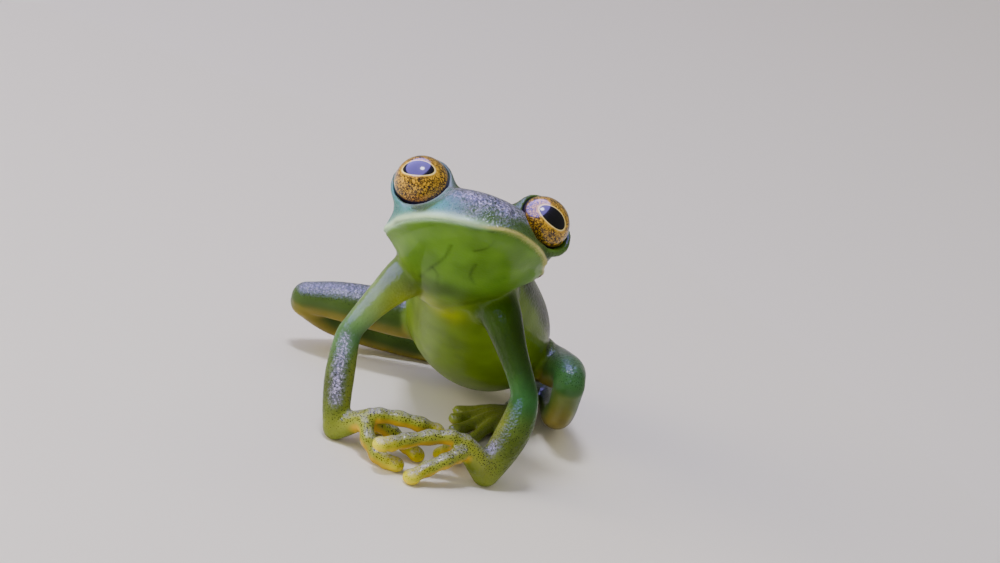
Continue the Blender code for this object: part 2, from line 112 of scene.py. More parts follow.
# Stations of the head: forward, half width at the lips, height of the crown, depth of the chin
HEAD_STATIONS = (
    (6.28, 0.9, 0.85, 0.35), (6.12, 1.6, 1.35, 0.55), (5.7, 2.4, 1.85, 0.85),
    (4.9, 3.25, 2.2, 1.15), (3.7, 4.0, 2.5, 1.5), (2.3, 4.5, 2.75, 1.85), (0.9, 4.72, 2.95, 2.15),
    (-0.6, 4.58, 3.0, 2.4), (-2.2, 3.85, 2.85, 2.6), (-3.8, 3.1, 2.5, 2.7),
)

# Stations of the trunk: centre, half width, half depth
TRUNK_STATIONS = (
    ((-0.3, 4.2, 12.0), 2.6, 2.15), ((-0.2, 5.2, 11.2), 2.85, 2.65), ((0.1, 6.8, 9.8), 3.35, 3.1),
    ((0.9, 9.1, 7.8), 4.0, 3.5), ((1.6, 11.5, 5.8), 4.4, 3.72), ((2.2, 14.0, 4.1), 4.0, 3.4),
    ((2.75, 16.4, 3.1), 3.1, 2.5), ((3.05, 18.2, 2.4), 2.2, 1.85), ((3.2, 19.2, 2.05), 1.2, 1.1),
)

# Each arm from the shoulder to the wrist: place, radius
ARMS = {
    "right": (
        ((-1.7, 5.8, 9.6), 1.6), ((-2.9, 4.2, 9.4), 1.35), ((-4.1, 2.8, 7.9), 0.92),
        ((-4.95, 1.75, 6.4), 0.72), ((-5.2, 1.4, 5.5), 0.76), ((-5.0, 0.6, 3.7), 0.88),
        ((-4.7, 0.05, 2.2), 0.84), ((-4.3, -0.3, 0.7), 0.76),
    ),
    "left": (
        ((1.9, 5.6, 9.2), 1.6), ((2.85, 3.9, 8.8), 1.22), ((4.1, 2.7, 7.3), 0.88),
        ((5.25, 1.8, 5.8), 0.78), ((5.6, 1.5, 4.95), 0.86), ((5.6, 0.9, 3.6), 1.0),
        ((5.25, 0.3, 2.2), 0.96), ((4.7, -0.2, 0.76), 0.84),
    ),
}
# Numbers of the elbow and the wrist among them
ELBOW, WRIST = 4, 7

# The palm, then the fingers from the knuckle out to the disc at the tip
PALMS = {
    "right": (((-4.3, -0.3, 0.7), 0.76), ((-3.35, -0.6, 1.45), 0.66), ((-2.6, -0.95, 2.1), 0.52)),
    "left": (((4.7, -0.2, 0.76), 0.84), ((3.85, -0.6, 1.6), 0.76), ((3.0, -1.0, 2.35), 0.6)),
}
FINGERS = {
    "right": (
        ((-2.85, -0.95, 1.9), (-2.66, -1.3, 1.7), (-2.25, -1.9, 1.12), (-1.5, -2.35, 0.55),
         (-0.9, -2.5, 0.42), (-0.35, -2.45, 0.4)),
        ((-2.6, -0.95, 2.2), (-2.1, -0.95, 2.4), (-0.95, -0.75, 2.52), (0.3, -0.45, 2.45),
         (1.3, 0.1, 2.2)),
        ((-3.0, -0.6, 1.7), (-2.2, -0.1, 1.6), (-1.2, 0.25, 1.25), (-0.1, 0.3, 0.7),
         (0.6, 0.2, 0.42)),
        ((-3.6, -0.3, 1.2), (-3.2, 0.7, 1.1), (-2.7, 1.7, 0.75), (-2.3, 2.4, 0.42),
         (-1.9, 2.95, 0.38)),
    ),
    "left": (
        ((3.3, -1.1, 2.0), (2.9, -1.9, 1.85), (2.3, -2.5, 1.5), (1.5, -3.15, 1.0),
         (0.75, -3.8, 0.45)),
        ((3.0, -1.0, 2.45), (2.2, -1.35, 2.58), (1.06, -1.75, 2.33), (-0.23, -2.5, 1.95),
         (-0.9, -3.1, 1.75), (-1.45, -3.45, 1.64)),
        ((3.2, -0.5, 2.0), (2.8, 0.35, 1.65), (2.35, 1.1, 1.0), (2.0, 1.65, 0.42)),
        ((3.6, -0.15, 1.4), (3.3, 0.9, 1.15), (3.15, 2.1, 0.7), (3.15, 3.0, 0.4)),
    ),
}
FINGER_RADIUS = 0.49
KNUCKLE_RADIUS = 0.55
FINGER_DISC = (0.54, 0.62, 0.44)

LEG_LENGTHS = ("thigh", "shank", "tarsus")
# Legs from hip to foot: place, radius; then the foot's heading in degrees and its share of length
LEGS = {
    "right": {
        "thigh": (
            ((1.6, 16.0, 3.4), 1.7), ((-0.6, 15.2, 3.7), 1.55), ((-3.6, 14.0, 3.75), 1.4),
            ((-6.6, 13.3, 3.65), 1.2), ((-8.6, 13.2, 3.3), 0.95),
        ),
        "shank": (
            ((-8.6, 13.45, 2.95), 0.95), ((-6.9, 15.3, 1.8), 0.95), ((-4.8, 16.7, 1.3), 1.0),
            ((-2.4, 17.7, 0.92), 0.85), ((-0.2, 18.6, 0.68), 0.72),
        ),
        "tarsus": (
            ((0.1, 19.4, 0.75), 0.66), ((-1.4, 19.95, 0.62), 0.56), ((-2.6, 20.1, 0.58), 0.54),
            ((-3.8, 20.1, 0.56), 0.6),
        ),
        "toe_heading": 160,
        "toe_reach": 0.8,
    },
    "left": {
        "thigh": (
            ((4.2, 16.6, 2.9), 1.6), ((5.9, 14.6, 3.5), 1.38), ((7.0, 12.2, 4.1), 1.25),
            ((7.65, 9.9, 4.75), 1.08), ((7.85, 8.5, 4.85), 0.98),
        ),
        "shank": (
            ((7.95, 8.3, 4.5), 0.96), ((8.0, 9.9, 2.6), 0.9), ((7.85, 12.0, 1.35), 0.92),
            ((7.55, 14.6, 0.9), 0.82), ((7.2, 17.0, 0.68), 0.72),
        ),
        "tarsus": (
            ((6.45, 17.4, 0.75), 0.66), ((5.8, 15.8, 0.62), 0.56), ((5.4, 14.0, 0.58), 0.54),
            ((5.1, 12.0, 0.56), 0.6),
        ),
        "toe_heading": 249,
        "toe_reach": 1.0,
    },
}
# Toes from the first to the fifth: angle from the foot's heading, length
TOES = ((36, 3.4), (20, 4.5), (6, 6.0), (-6, 7.6), (-19, 6.3))
TOE_ROOT_RADIUS = 0.52
TOE_RADIUS = 0.38
# Height of a toe over its root, by share of its length
TOE_ARCH = ((0.0, 0.0), (0.4, 0.06), (0.75, -0.16), (1.0, -0.24))
TOE_DISC = (0.48, 0.52, 0.36)
WEB_SHARE = 0.55
WEB_HALF_THICKNESS = 0.26
WEB_DROP = 0.1

# How finely the forms are drawn before they are fused
RING_SIDES = 160
TUBE_BEVEL = 8
BALL_SIDES, CUP_SIDES, EYE_SIDES = 40, 72, 96
HEAD_STEPS, TRUNK_STEPS, TUBE_STEPS = 12, 14, 6
WELD_GAP = 0.002
# Rounds of averaging: in the folds, over the borders of regions, on the rims of the lids
FOLD_PASSES, REGION_PASSES, LID_PASSES = 90, 22, 8
SOFTENING = 0.5
# Folds that are rounded: round the eyes, by distance and width, and this near to the vent
EYE_HOLLOW = (2.3, 0.55)
VENT_REACH = (-3.2, -1.8)

# Cups of skin round each eye: radius, and how far along the way the lids open it is cut off
EYE_CUPS = ((2.0, -0.3), (1.88, 0.05), (1.76, 0.26), (1.68, 0.38))
# The lids open this wide, at this place along their axis, and spread with this slope
LID_OPENING = 1.5
LID_RIM = 0.36
LID_SLOPE = 0.85
# Inside the opening the skin sinks to this place; the cone fades between these distances
LID_FLOOR = -0.9
LID_FADE = (-3.2, -2.4)
# Lower lids: distance from the eye's axis, place along it, thickest radius, span either way
LOWER_LID = {"right": (1.62, 0.16, 0.3, 55), "left": (1.84, 0.22, 0.31, 80)}
# Places of a lid either side of its middle, and how much thinner it ends
LID_STEPS, LID_TAPER = 6, 0.7
# Flesh between the eyes and the crown, in the head's frame
BROW = ((1.6, 2.7, 1.85), 1.5)
# How far the lip and cheek under the right eye sag, at this height and to either side of it
LIP_SAG, SAG_HEIGHT, SAG_WIDTH = 0.42, 0.05, 0.62
# Lines along the lip: height over its edge, inset, lift, width
LIP_LINES = ((-0.12, 0.02, -0.15, 0.11), (0.14, 0.0, 0.03, 0.14))
# Folds below each eye: distance from the eye's centre, depth
EYE_FOLDS = ((2.25, 0.05), (2.65, 0.04))
EYE_FOLD_WIDTH = 0.09
# Lift and width of the throat's creases, the nostrils and the knuckles
THROAT_FOLD, PIT, KNUCKLE = (-0.07, 0.16), (-0.2, 0.15), (0.05, 0.5)
# Creases of the throat in the head's frame
THROAT_FOLDS = (
    ((-1.8, -3.9, -1.6), (-1.9, -2.0, -2.5), (-2.0, 0.5, -2.8), (-1.9, 2.5, -2.4)),
)
# The way that the lids of each eye open, the way its pupil looks and the pupil's long axis
LID_AXES = {"right": Vector((-0.316, -0.629, 0.711)), "left": Vector((0.502, -0.48, 0.72))}
GAZE = {
    "right": ((-0.291, -0.63, 0.719), (0.972, -0.126, 0.282)),
    "left": ((0.332, -0.717, 0.613), (0.91, 0.039, -0.445)),
}
# The eyes sit this much lower, along the head's up, than in the solids
EYE_DROP = 0.17
# Mounds round the nostrils, and the pits in them, in the head's frame
NOSTRIL_MOUND = ((5.62, 0.95, 1.0), 0.66)
NOSTRIL_PIT = (5.95, 1.42, 1.2)
# The ridges from the nostrils to the eyes, in the head's frame
CANTHUS = (((5.6, 1.1, 1.05), 0.5), ((4.9, 1.9, 1.4), 0.52), ((3.9, 2.7, 1.6), 0.5),
           ((3.2, 3.1, 1.7), 0.5))
# Two more stations of the head, which close the finished snout
SNOUT_TIP = ((6.44, 0.12, 0.12, 0.05), (6.4, 0.5, 0.5, 0.2))
# Veins of the throat
VEINS = (
    ((-1.05, -1.3, 13.5), (-1.19, -0.43, 12.45), (-1.74, 0.7, 11.31), (-2.0, 1.4, 10.8),
     (-2.25, 2.13, 10.08)),
    ((-1.74, 0.7, 11.31), (-1.3, 1.1, 10.9), (-1.2, 1.9, 10.1)),
    ((0.3, -1.5, 13.6), (0.9, -1.7, 14.1), (1.2, -2.0, 14.8)),
    ((0.59, -0.6, 12.6), (0.5, 0.3, 11.6), (0.9, 1.0, 10.9)),
    ((2.2, -0.6, 13.6), (2.0, 0.2, 12.6), (2.4, 0.8, 12.0)),
)
# The yellow band from the armpit across the chest
ARMPIT_BAND = ((-3.35, 2.47, 7.53), (-2.97, 2.6, 8.26), (-2.0, 3.5, 8.15), (-1.2, 4.3, 7.9),
               (0.0, 4.6, 7.7))
# Painted shadow under the chin: a dark band where the throat meets the chest
CHIN_SHADOW = ((-1.9, 2.6, 9.5), (-0.5, 2.1, 9.8), (0.9, 2.4, 9.8), (1.9, 2.9, 9.6))
# From the middle of the forearm to the line along it where a highlight is painted
ARM_SHINE = {"right": (-0.1, -0.85, 0.3), "left": (-0.65, -0.7, 0.3)}
ARM_SHINE_SPAN = {"right": (4, 7), "left": (6, 8)}
# Towards the palest part of each lid; on the right lid that pale part is partly a painted
# highlight
LID_PALE = {"right": (0.75, -0.4, -0.55), "left": (0.1, -0.3, -0.95)}
# The left corner of the mouth, in the head's frame
MOUTH_CORNER = (0.2, 4.66, 0.0)
# Width of a finger half way between two joints, as a share of its width at them
WAIST = 0.84
# Real sizes of the patterns: clouds, plates, glints and creases of the skin, depth of its grain
CLOUD, PLATE, GLINT, CREASE, GRAIN_DEPTH = 1.6, 1.5, 0.15, 0.4, 0.06
# Real sizes in the iris: its cracks, how far they are bent, the swirls that bend them and the
# patches they fill
CRACK, CRACK_BEND, SWIRL, CRACK_PATCH = 0.2, 0.5, 0.26, 0.35
# The iris's shades run out to this many half sizes of the pupil
IRIS_REACH = 4.0
PUPIL_COLOUR = "#07070d"
CRACK_COLOUR = "#1d1916"
LID_SHADOW = "#191227"
REGIONS = ("head", "trunk", "arm", "hand", "leg", "foot")
FLESH_NODES = ("head", "torso", *(
    f"{side}_{length}" for side in ("right", "left")
    for length in ("upper_arm", "forearm", "hand", "thigh", "shank", "tarsus", "foot")))

FLOOR_SIZE_M = 4.0
FLOOR_COLOUR = "#eae8dd"
ROOM_COLOUR = "#f4f1e6"
ROOM_STRENGTH = 0.28
LENS = 160
SENSOR_WIDTH = 36
CAMERA_TARGET = (2.2, 3.0, 11.0)
CAMERA_DISTANCE = 255.5
CAMERA_FALL = math.radians(17.0)
CAMERA_ROLL = math.radians(17.5)
LIGHT_TARGET = (0, 3, 9)
# Lights: name, place, width and height, power in watts, colour. A shine shows only in
# reflections, and a fill doesn't show in them.
LIGHTS = (
    ("shine_violet", (-125, 15, 230), (560, 400), 7.0, "#9a8aff"),
    ("softbox_above", (-60, -40, 250), (60, 60), 0.45, "#f4efff"),
    ("fill_key", (-211, -80, 66), (200, 200), 0.6, "#fff0d0"),
    ("fill_front", (-60, -300, 60), (260, 260), 0.45, "#fff7e6"),
    ("fill_back", (120, 190, 190), (200, 200), 0.14, "#fff2d8"),
)


def linear(hex_colour):
    """Turns an sRGB hex value such as #4a6b2a to Blender's linear colour."""
    values = [int(hex_colour[i:i + 2], 16) / 255 for i in (1, 3, 5)]
    return (*(v / 12.92 if v <= 0.04045 else ((v + 0.055) / 1.055) ** 2.4 for v in values), 1.0)


def colour_property(name, description, hex_colour):
    """A colour of the frog that the panel shows."""
    return FloatVectorProperty(name=name, description=description, subtype="COLOR", size=3,
                               min=0.0, max=1.0, default=linear(hex_colour)[:3])


def head_turn():
    """Axes of the head: forward, left and up, as the columns of a matrix."""
    forward = Vector((math.sin(HEAD_YAW) * math.cos(HEAD_PITCH),
                      -math.cos(HEAD_YAW) * math.cos(HEAD_PITCH),
                      math.sin(HEAD_PITCH)))
    left = Vector((math.cos(HEAD_YAW), math.sin(HEAD_YAW), 0.0))
    up = forward.cross(left)
    up = -up if up.z < 0 else up
    tilted_left = left * math.cos(HEAD_ROLL) - up * math.sin(HEAD_ROLL)
    tilted_up = up * math.cos(HEAD_ROLL) + left * math.sin(HEAD_ROLL)
    return Matrix((forward, tilted_left, tilted_up)).transposed()


HEAD_TURN = head_turn()
HEAD = Matrix.Translation(JAW_CENTRE) @ HEAD_TURN.to_4x4()


def head_point(forward, left, up):
    """A place of the model from one in the head's own frame."""
    return HEAD @ Vector((forward, left, up))


def eye_centre(side):
    """Where the solids have the eye."""
    return head_point(EYE_FORWARD, SIDES[side] * EYE_SIDE, EYE_UP)


def eye_place(side):
    """Where the finished eye sits."""
    return eye_centre(side) - HEAD_TURN.col[2] * EYE_DROP


def frame_shift():
    """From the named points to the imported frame: the solids were centred over their floor."""
    low, high = (Vector(corner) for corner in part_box("right_eye"))
    return (low + high) / 2 / MM - eye_centre("right")


SHIFT = frame_shift()
EYE_RADIUS = (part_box("right_eye")[1][2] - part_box("right_eye")[0][2]) / 2 / MM


class FrogSizes(bpy.types.PropertyGroup):
    skin_grid: FloatProperty(
        name="Skin grid", description="Size of the grid that the skin is fused on",
        subtype="DISTANCE", unit="LENGTH", default=0.136 * MM, min=0.05 * MM)
    smoothing: IntProperty(
        name="Smoothing", description="Passes that soften the fused skin", default=7, min=0)
    pupil_width: FloatProperty(
        name="Pupil width", description="Width of the pupil across the eye",
        subtype="DISTANCE", unit="LENGTH", default=1.9 * MM, min=0.1 * MM)
    pupil_height: FloatProperty(
        name="Pupil height", description="Height of the pupil",
        subtype="DISTANCE", unit="LENGTH", default=1.06 * MM, min=0.1 * MM)
    dot_spacing: FloatProperty(
        name="Dot spacing", description="Spacing of the black dots on the skin",
        subtype="DISTANCE", unit="LENGTH", default=0.11 * MM, min=0.02 * MM)
    grain_spacing: FloatProperty(
        name="Grain spacing", description="Spacing of the grains that roughen the back",
        subtype="DISTANCE", unit="LENGTH", default=0.16 * MM, min=0.02 * MM)


class FrogColours(bpy.types.PropertyGroup):
    back: colour_property("Back", "Olive green of the back and crown", "#435a15")
    # The sides' dark green, deepened as painted shade; it also colours the veins and the mouth
    # line
    flank_and_shade: colour_property("Flank", "Dark green of the sides", "#1d3009")
    snout: colour_property("Snout", "Green above the lip", "#44602c")
    cheek: colour_property("Cheek", "Blue green under the right eye", "#3a7c7c")
    lip: colour_property("Lip", "Pale mint of the upper lip", "#b0dabb")
    lip_edge: colour_property("Lip edge", "Cream line at the edge of the lip", "#c9c27a")
    throat: colour_property("Throat", "Green of the throat", "#537b21")
    belly: colour_property("Belly", "Clear green of the belly", "#5f7c1a")
    armpit: colour_property("Armpit", "Yellow band across the chest", "#8f9f0c")
    # Deep green painted shade: on the left upper arm and under the chin
    painted_shade: colour_property("Arm shade", "Deep green of the left upper arm", "#284208")
    wrist: colour_property("Wrist", "Yellow green of the wrists", "#6a7a24")
    upper_arm: colour_property("Upper arm", "Pale green of the right upper arm", "#6c874f")
    elbow: colour_property("Elbow", "Cool green of the elbows and the left knee", "#33693a")
    forearm: colour_property("Forearm", "Dark olive of the forearms", "#4a5a18")
    hand: colour_property("Hand", "Yellow green of hands and feet", "#858f30")
    palm: colour_property("Palm", "Orange yellow under fingers, toes and legs", "#c99f24")
    disc: colour_property("Finger disc", "Bright yellow of the finger discs", "#e6de22")
    leg: colour_property("Leg", "Dark green of the hind legs", "#3f5624")
    # Grey green painted sheen along the tops of the hind legs
    leg_sheen: colour_property("Leg top", "Grey green along the top of the hind legs", "#4a5a48")
    # The right lid's pale blue is partly a painted highlight
    lid_right: colour_property("Right lid", "Pale blue of the right eye's lower lid", "#a3b4d6")
    lid_left: colour_property("Left lid", "Fresh green of the left eye's lower lid", "#5f8a2c")
    corner: colour_property("Mouth corner", "Brown of the corner of the mouth", "#5a3a1c")
    # Lavender painted into the colour as glints where wet grains would shine
    painted_glint: colour_property("Painted glint", "Lavender of the shining grains", "#b9b3e2")
    # Violet grey painted sheen, laid under the painted glints
    painted_sheen: colour_property("Sheen", "Violet grey under the glints", "#62608a")
    dots: colour_property("Dots", "Black of the dots", "#10140a")
    iris: colour_property("Iris", "Gold of the iris", "#d6a624")
    iris_rim: colour_property("Iris rim", "Brown orange of the iris near the lids", "#a8602c")
    pupil_ring: colour_property("Pupil ring", "Pale yellow ring round the pupil", "#f4e49a")


def choose(*objects):
    """Leaves only these objects selected, the first of them active."""
    bpy.ops.object.select_all(action="DESELECT")
    for obj in objects:
        obj.select_set(True)
    bpy.context.view_layer.objects.active = objects[0]


def smoothed(rows, steps):
    """More rows of numbers put between the given ones, on a Catmull-Rom curve."""
    rows = np.array(rows, float)
    padded = np.vstack((rows[:1], rows, rows[-1:]))
    found = []
    for before, start, end, after in zip(padded, padded[1:], padded[2:], padded[3:]):
        for t in np.arange(steps) / steps:
            found.append(before * (-0.5 * t + t * t - 0.5 * t ** 3)
                         + start * (1 - 2.5 * t * t + 1.5 * t ** 3)
                         + end * (0.5 * t + 2 * t * t - 1.5 * t ** 3)
                         + after * (-0.5 * t * t + 0.5 * t ** 3))
    return [*found, rows[-1]]


def edit(*steps):
    """Runs mesh operators, each with its settings, on all of the active mesh."""
    bpy.ops.object.mode_set(mode="EDIT")
    for operator, settings in steps:
        bpy.ops.mesh.select_all(action="SELECT")
        operator(**settings)
    bpy.ops.object.mode_set(mode="OBJECT")


def weld():
    """Welds the active mesh where its points meet and turns its faces outwards."""
    edit((bpy.ops.mesh.remove_doubles, {"threshold": WELD_GAP}),
         (bpy.ops.mesh.normals_make_consistent, {"inside": False}))


def add_form(data):
    """Shows a curve or a mesh as an object, which alone is selected."""
    form = bpy.data.objects.new("form", data)
    bpy.context.collection.objects.link(form)
    choose(form)
    return form


def add_points(points, edges=()):
    """A form of loose points and edges."""
    mesh = bpy.data.meshes.new("form")
    mesh.from_pydata(points, edges, [])
    return add_form(mesh)


def add_ball(centre, radii, heading=(1, 0, 0), segments=BALL_SIDES):
    """An ellipsoid; its first radius lies along the heading."""
    turn = Vector(heading).to_track_quat("X", "Z").to_euler()
    bpy.ops.mesh.primitive_uv_sphere_add(segments=segments, ring_count=segments * 2 // 3,
                                         radius=1.0, location=centre, rotation=turn)
    ball = bpy.context.object
    ball.scale = radii
    bpy.ops.object.transform_apply()
    return ball


def add_tube(chain):
    """A tube of changing radius along a chain of (place, radius) pairs, its ends closed."""
    line = smoothed([(*place, radius) for place, radius in chain], TUBE_STEPS)
    curve = bpy.data.curves.new("form", "CURVE")
    curve.dimensions = "3D"
    curve.bevel_depth = 1.0
    curve.bevel_resolution = TUBE_BEVEL
    curve.use_fill_caps = True
    spline = curve.splines.new("POLY")
    spline.points.add(len(line) - 1)
    for point, (x, y, z, radius) in zip(spline.points, line):
        point.co = (x, y, z, 1.0)
        point.radius = radius
    tube = add_form(curve)
    bpy.ops.object.convert(target="MESH")
    weld()
    return tube


def add_limb(chain):
    """A tube with a ball at each end."""
    ends = [add_ball(place, (radius,) * 3) for place, radius in (chain[0], chain[-1])]
    return [add_tube(chain), *ends]


def add_loft(rings):
    """A closed solid through rings of points, bridged in turn and filled at both ends."""
    points = [tuple(p) for ring in rings for p in ring]
    edges = []
    for start in range(0, len(points), len(rings[0])):
        loop = list(range(start, start + len(rings[0])))
        edges += zip(loop, loop[1:] + loop[:1])
    loft = add_points(points, edges)
    edit((bpy.ops.mesh.bridge_edge_loops, {}), (bpy.ops.mesh.fill_holes, {"sides": 0}))
    weld()
    return loft


def power(value, exponent):
    """A power that keeps the value's sign."""
    return math.copysign(abs(value) ** exponent, value)


def head_ring(forward, half_width, crown, chin):
    """A section of the head: broad at the lips, full above them and sloping in below."""
    ring = []
    for i in range(RING_SIDES):
        angle = 2 * math.pi * i / RING_SIDES
        across, rise = math.cos(angle), math.sin(angle)
        if rise > 0:
            half = half_width * power(across, CROWN_POWERS[0])
            height = crown * power(rise, CROWN_POWERS[1])
        else:
            tuck = 1 - JAW_TUCK * min(1.0, -rise / TUCK_DEPTH)
            half, height = half_width * tuck * power(across, CHIN_POWER), chin * rise
        ring.append(head_point(forward, half, height))
    return ring


def trunk_rings():
    """Sections of the trunk, each square to the line of the back."""
    rows = smoothed([(*centre, *radii) for centre, *radii in TRUNK_STATIONS], TRUNK_STEPS)
    angles = [2 * math.pi * i / RING_SIDES for i in range(RING_SIDES)]
    rings = []
    for k, row in enumerate(rows):
        along = Vector(rows[min(k + 1, len(rows) - 1)][:3] - rows[max(k - 1, 0)][:3]).normalized()
        across = Vector((0, 0, 1)).cross(along).normalized()
        out = along.cross(across)
        rings.append([Vector(row[:3]) + across * row[3] * math.cos(a) + out * row[4] * math.sin(a)
                      for a in angles])
    return rings


def lip_line(up, inset):
    """Points round the rim of the mouth, from the right corner past the snout to the left."""
    half = [(s[0], s[1] - inset) for s in HEAD_STATIONS[:8]]
    right = [head_point(f, -w, up) for f, w in reversed(half)]
    left = [head_point(f, w, up) for f, w in half]
    return [*right, head_point(LIP_TO_JAW - inset, 0, up), *left]


def add_eye_cup(side, radius, rim):
    """A ball of skin round an eye, cut off square to the way that the lids open."""
    cup = add_ball(eye_place(side), (radius,) * 3, segments=CUP_SIDES)
    edit((bpy.ops.mesh.bisect, {"plane_co": eye_place(side) + LID_AXES[side] * rim,
                                "plane_no": LID_AXES[side], "use_fill": True,
                                "clear_outer": True}))
    return cup


def lower_lid(side):
    """A ridge of skin along the lower edge of an eye, thickest in its middle."""
    axis = LID_AXES[side].normalized()
    down = (Vector((0, 0, -1)) + axis * axis.z).normalized()
    across = axis.cross(down)
    reach, along, thick, span = LOWER_LID[side]
    chain = []
    for step in range(-LID_STEPS, LID_STEPS + 1):
        angle = math.radians(span) * step / LID_STEPS
        place = down * math.cos(angle) + across * math.sin(angle)
        chain.append((eye_place(side) + axis * along + place * reach,
                      thick * (1 - LID_TAPER * (step / LID_STEPS) ** 2)))
    return add_tube(chain)


def toe_chain(side, angle, length):
    """A toe from the end of the tarsus, arched a little, its tip on the floor."""
    leg = LEGS[side]
    turn = math.radians(leg["toe_heading"] + SIDES[side] * -angle)
    way = Vector((math.cos(turn), math.sin(turn), 0.0))
    length *= leg["toe_reach"]
    base = Vector(leg["tarsus"][-1][0])
    return [base + way * length * share + Vector((0, 0, height)) for share, height in TOE_ARCH]


def add_web(first, second):
    """A thin skin between the lower lengths of two toes."""
    rise = Vector((0, 0, WEB_HALF_THICKNESS))
    web = add_points([corner + offset - Vector((0, 0, WEB_DROP))
                      for chain in (first, second)
                      for corner in (chain[0], chain[1], chain[1].lerp(chain[3], WEB_SHARE / 2))
                      for offset in (rise, -rise)])
    edit((bpy.ops.mesh.convex_hull, {}))
    return web


def head_forms():
    """The head with its lip, eye cups, lids, brows, nostrils and ridges."""
    rows = smoothed((*SNOUT_TIP, *HEAD_STATIONS), HEAD_STEPS)
    forms = [add_loft([head_ring(*row) for row in rows]),
             add_tube([(p, LIP_RADIUS) for p in lip_line(0.12, 0.12)])]
    for side, sign in SIDES.items():
        forms += [add_eye_cup(side, radius, rim) for radius, rim in EYE_CUPS]
        forms.append(lower_lid(side))
        for (forward, out, up), radius in (BROW, NOSTRIL_MOUND):
            forms.append(add_ball(head_point(forward, sign * out, up), (radius,) * 3))
        forms.append(add_tube([(head_point(forward, sign * out, up), radius)
                               for (forward, out, up), radius in CANTHUS]))
    return forms


def waisted(chain):
    """The chain with a narrower place put half way along each of its lengths."""
    found = chain[:1]
    for (start, _), (end, radius) in zip(chain, chain[1:]):
        found += [(Vector(start).lerp(Vector(end), 0.5), radius * WAIST), (end, radius)]
    return found


def hand_forms(side):
    """A palm and four fingers, each ending in a blunt disc."""
    forms = add_limb(PALMS[side])
    for chain in FINGERS[side]:
        radii = [KNUCKLE_RADIUS] + [FINGER_RADIUS] * (len(chain) - 1)
        forms += [add_tube(waisted(list(zip(chain, radii)))),
                  add_ball(chain[-1], FINGER_DISC, Vector(chain[-1]) - Vector(chain[-2]))]
    return forms


def foot_forms(side):
    """Five toes with discs at their tips and webs between them."""
    chains = [toe_chain(side, angle, length) for angle, length in TOES]
    forms = []
    for chain in chains:
        radii = [TOE_ROOT_RADIUS] + [TOE_RADIUS] * (len(chain) - 1)
        heading = chain[-1] - chain[-2]
        forms += [add_tube(list(zip(chain, radii))),
                  add_ball(chain[-1], TOE_DISC, (heading.x, heading.y, 0))]
    return forms + [add_web(*pair) for pair in zip(chains, chains[1:])]


def flesh_forms():
    """Every form of the flesh with the name of its region, for the colours to go by."""
    found = [("head", head_forms()), ("trunk", [add_loft(trunk_rings())])]
    for side in SIDES:
        found += [("arm", add_limb(ARMS[side])), ("hand", hand_forms(side))]
        found += [("leg", add_limb(LEGS[side][length])) for length in LEG_LENGTHS]
        found.append(("foot", foot_forms(side)))
    return [(form, region) for region, forms in found for form in forms]


def coordinates(mesh, kind="co"):
    """The mesh's points, or their normals, as an array."""
    source = mesh.vertices if kind == "co" else mesh.vertex_normals
    found = np.empty(len(mesh.vertices) * 3)
    source.foreach_get("co" if kind == "co" else "vector", found)
    return found.reshape(-1, 3)


def to_head(points):
    """Points of the model in the head's own frame: forward, left and up."""
    return (points - np.array(JAW_CENTRE)) @ np.array(HEAD_TURN)


def distance(points, place):
    """Distance of each point from a place."""
    return np.linalg.norm(points - np.array(place), axis=1)


def distance_to(points, line, steps=8):
    """Distance of each point from a line through places of the model."""
    found = np.full(len(points), np.inf)
    for place in smoothed([tuple(p) for p in line], steps):
        found = np.minimum(found, distance(points, place))
    return found


def bell(value, width):
    """1 at 0, falling smoothly to both sides."""
    return np.exp(-(value / width) ** 2)


def rise(value, start, end):
    """0 before start, 1 after end, and smooth between them."""
    t = np.clip((value - start) / (end - start), 0, 1)
    return t * t * (3 - 2 * t)


def spread(values, edges, passes):
    """Values averaged with those of their neighbours, that many times."""
    ends = np.concatenate((edges[:, 0], edges[:, 1]))
    others = np.concatenate((edges[:, 1], edges[:, 0]))
    count = np.bincount(ends, minlength=len(values))
    for _ in range(passes):
        sums = np.stack([np.bincount(ends, weights=column[others], minlength=len(values))
                         for column in values.T], axis=1)
        values = (values + sums) / (1 + count)[:, None]
    return values


def lid_view(points, side):
    """The way that an eye's lids open, and each point's place along that way and beside it."""
    axis = np.array(LID_AXES[side].normalized())
    from_eye = points - np.array(eye_place(side))
    along = from_eye @ axis
    return axis, along, np.linalg.norm(from_eye - along[:, None] * axis, axis=1)


def open_lids(points):
    """Sinks the skin in front of each eye to a cone that opens from the rim of its lids."""
    for side in SIDES:
        axis, along, out = lid_view(points, side)
        cone = LID_RIM + LID_SLOPE * (out - LID_OPENING)
        limit = np.where(out > LID_OPENING, cone, LID_FLOOR)
        excess = np.clip(along - limit, 0, None) * rise(-out, *LID_FADE)
        points = points - excess[:, None] * axis
    return points


def soften_lids(points, edges):
    """Evens out the rims of the lids."""
    near = np.zeros(len(points))
    for side in SIDES:
        _, along, out = lid_view(points, side)
        near += bell(out - LID_OPENING, 0.25) * rise(along, -0.5, 0.0)
    even = spread(points, edges, LID_PASSES)
    return points + (even - points) * np.clip(near, 0, 1)[:, None]


def sag_lip(points, weights):
    """Lets the lip and the cheek hang a little lower under the right eye."""
    forward, left, up = to_head(points).T
    here = weights["head"] * (1 - rise(left, -1.0, 2.2)) * rise(forward, -1.5, 0.5)
    sag = LIP_SAG * here * bell(up - SAG_HEIGHT, SAG_WIDTH)
    return points - np.array(HEAD_TURN.col[2]) * sag[:, None]


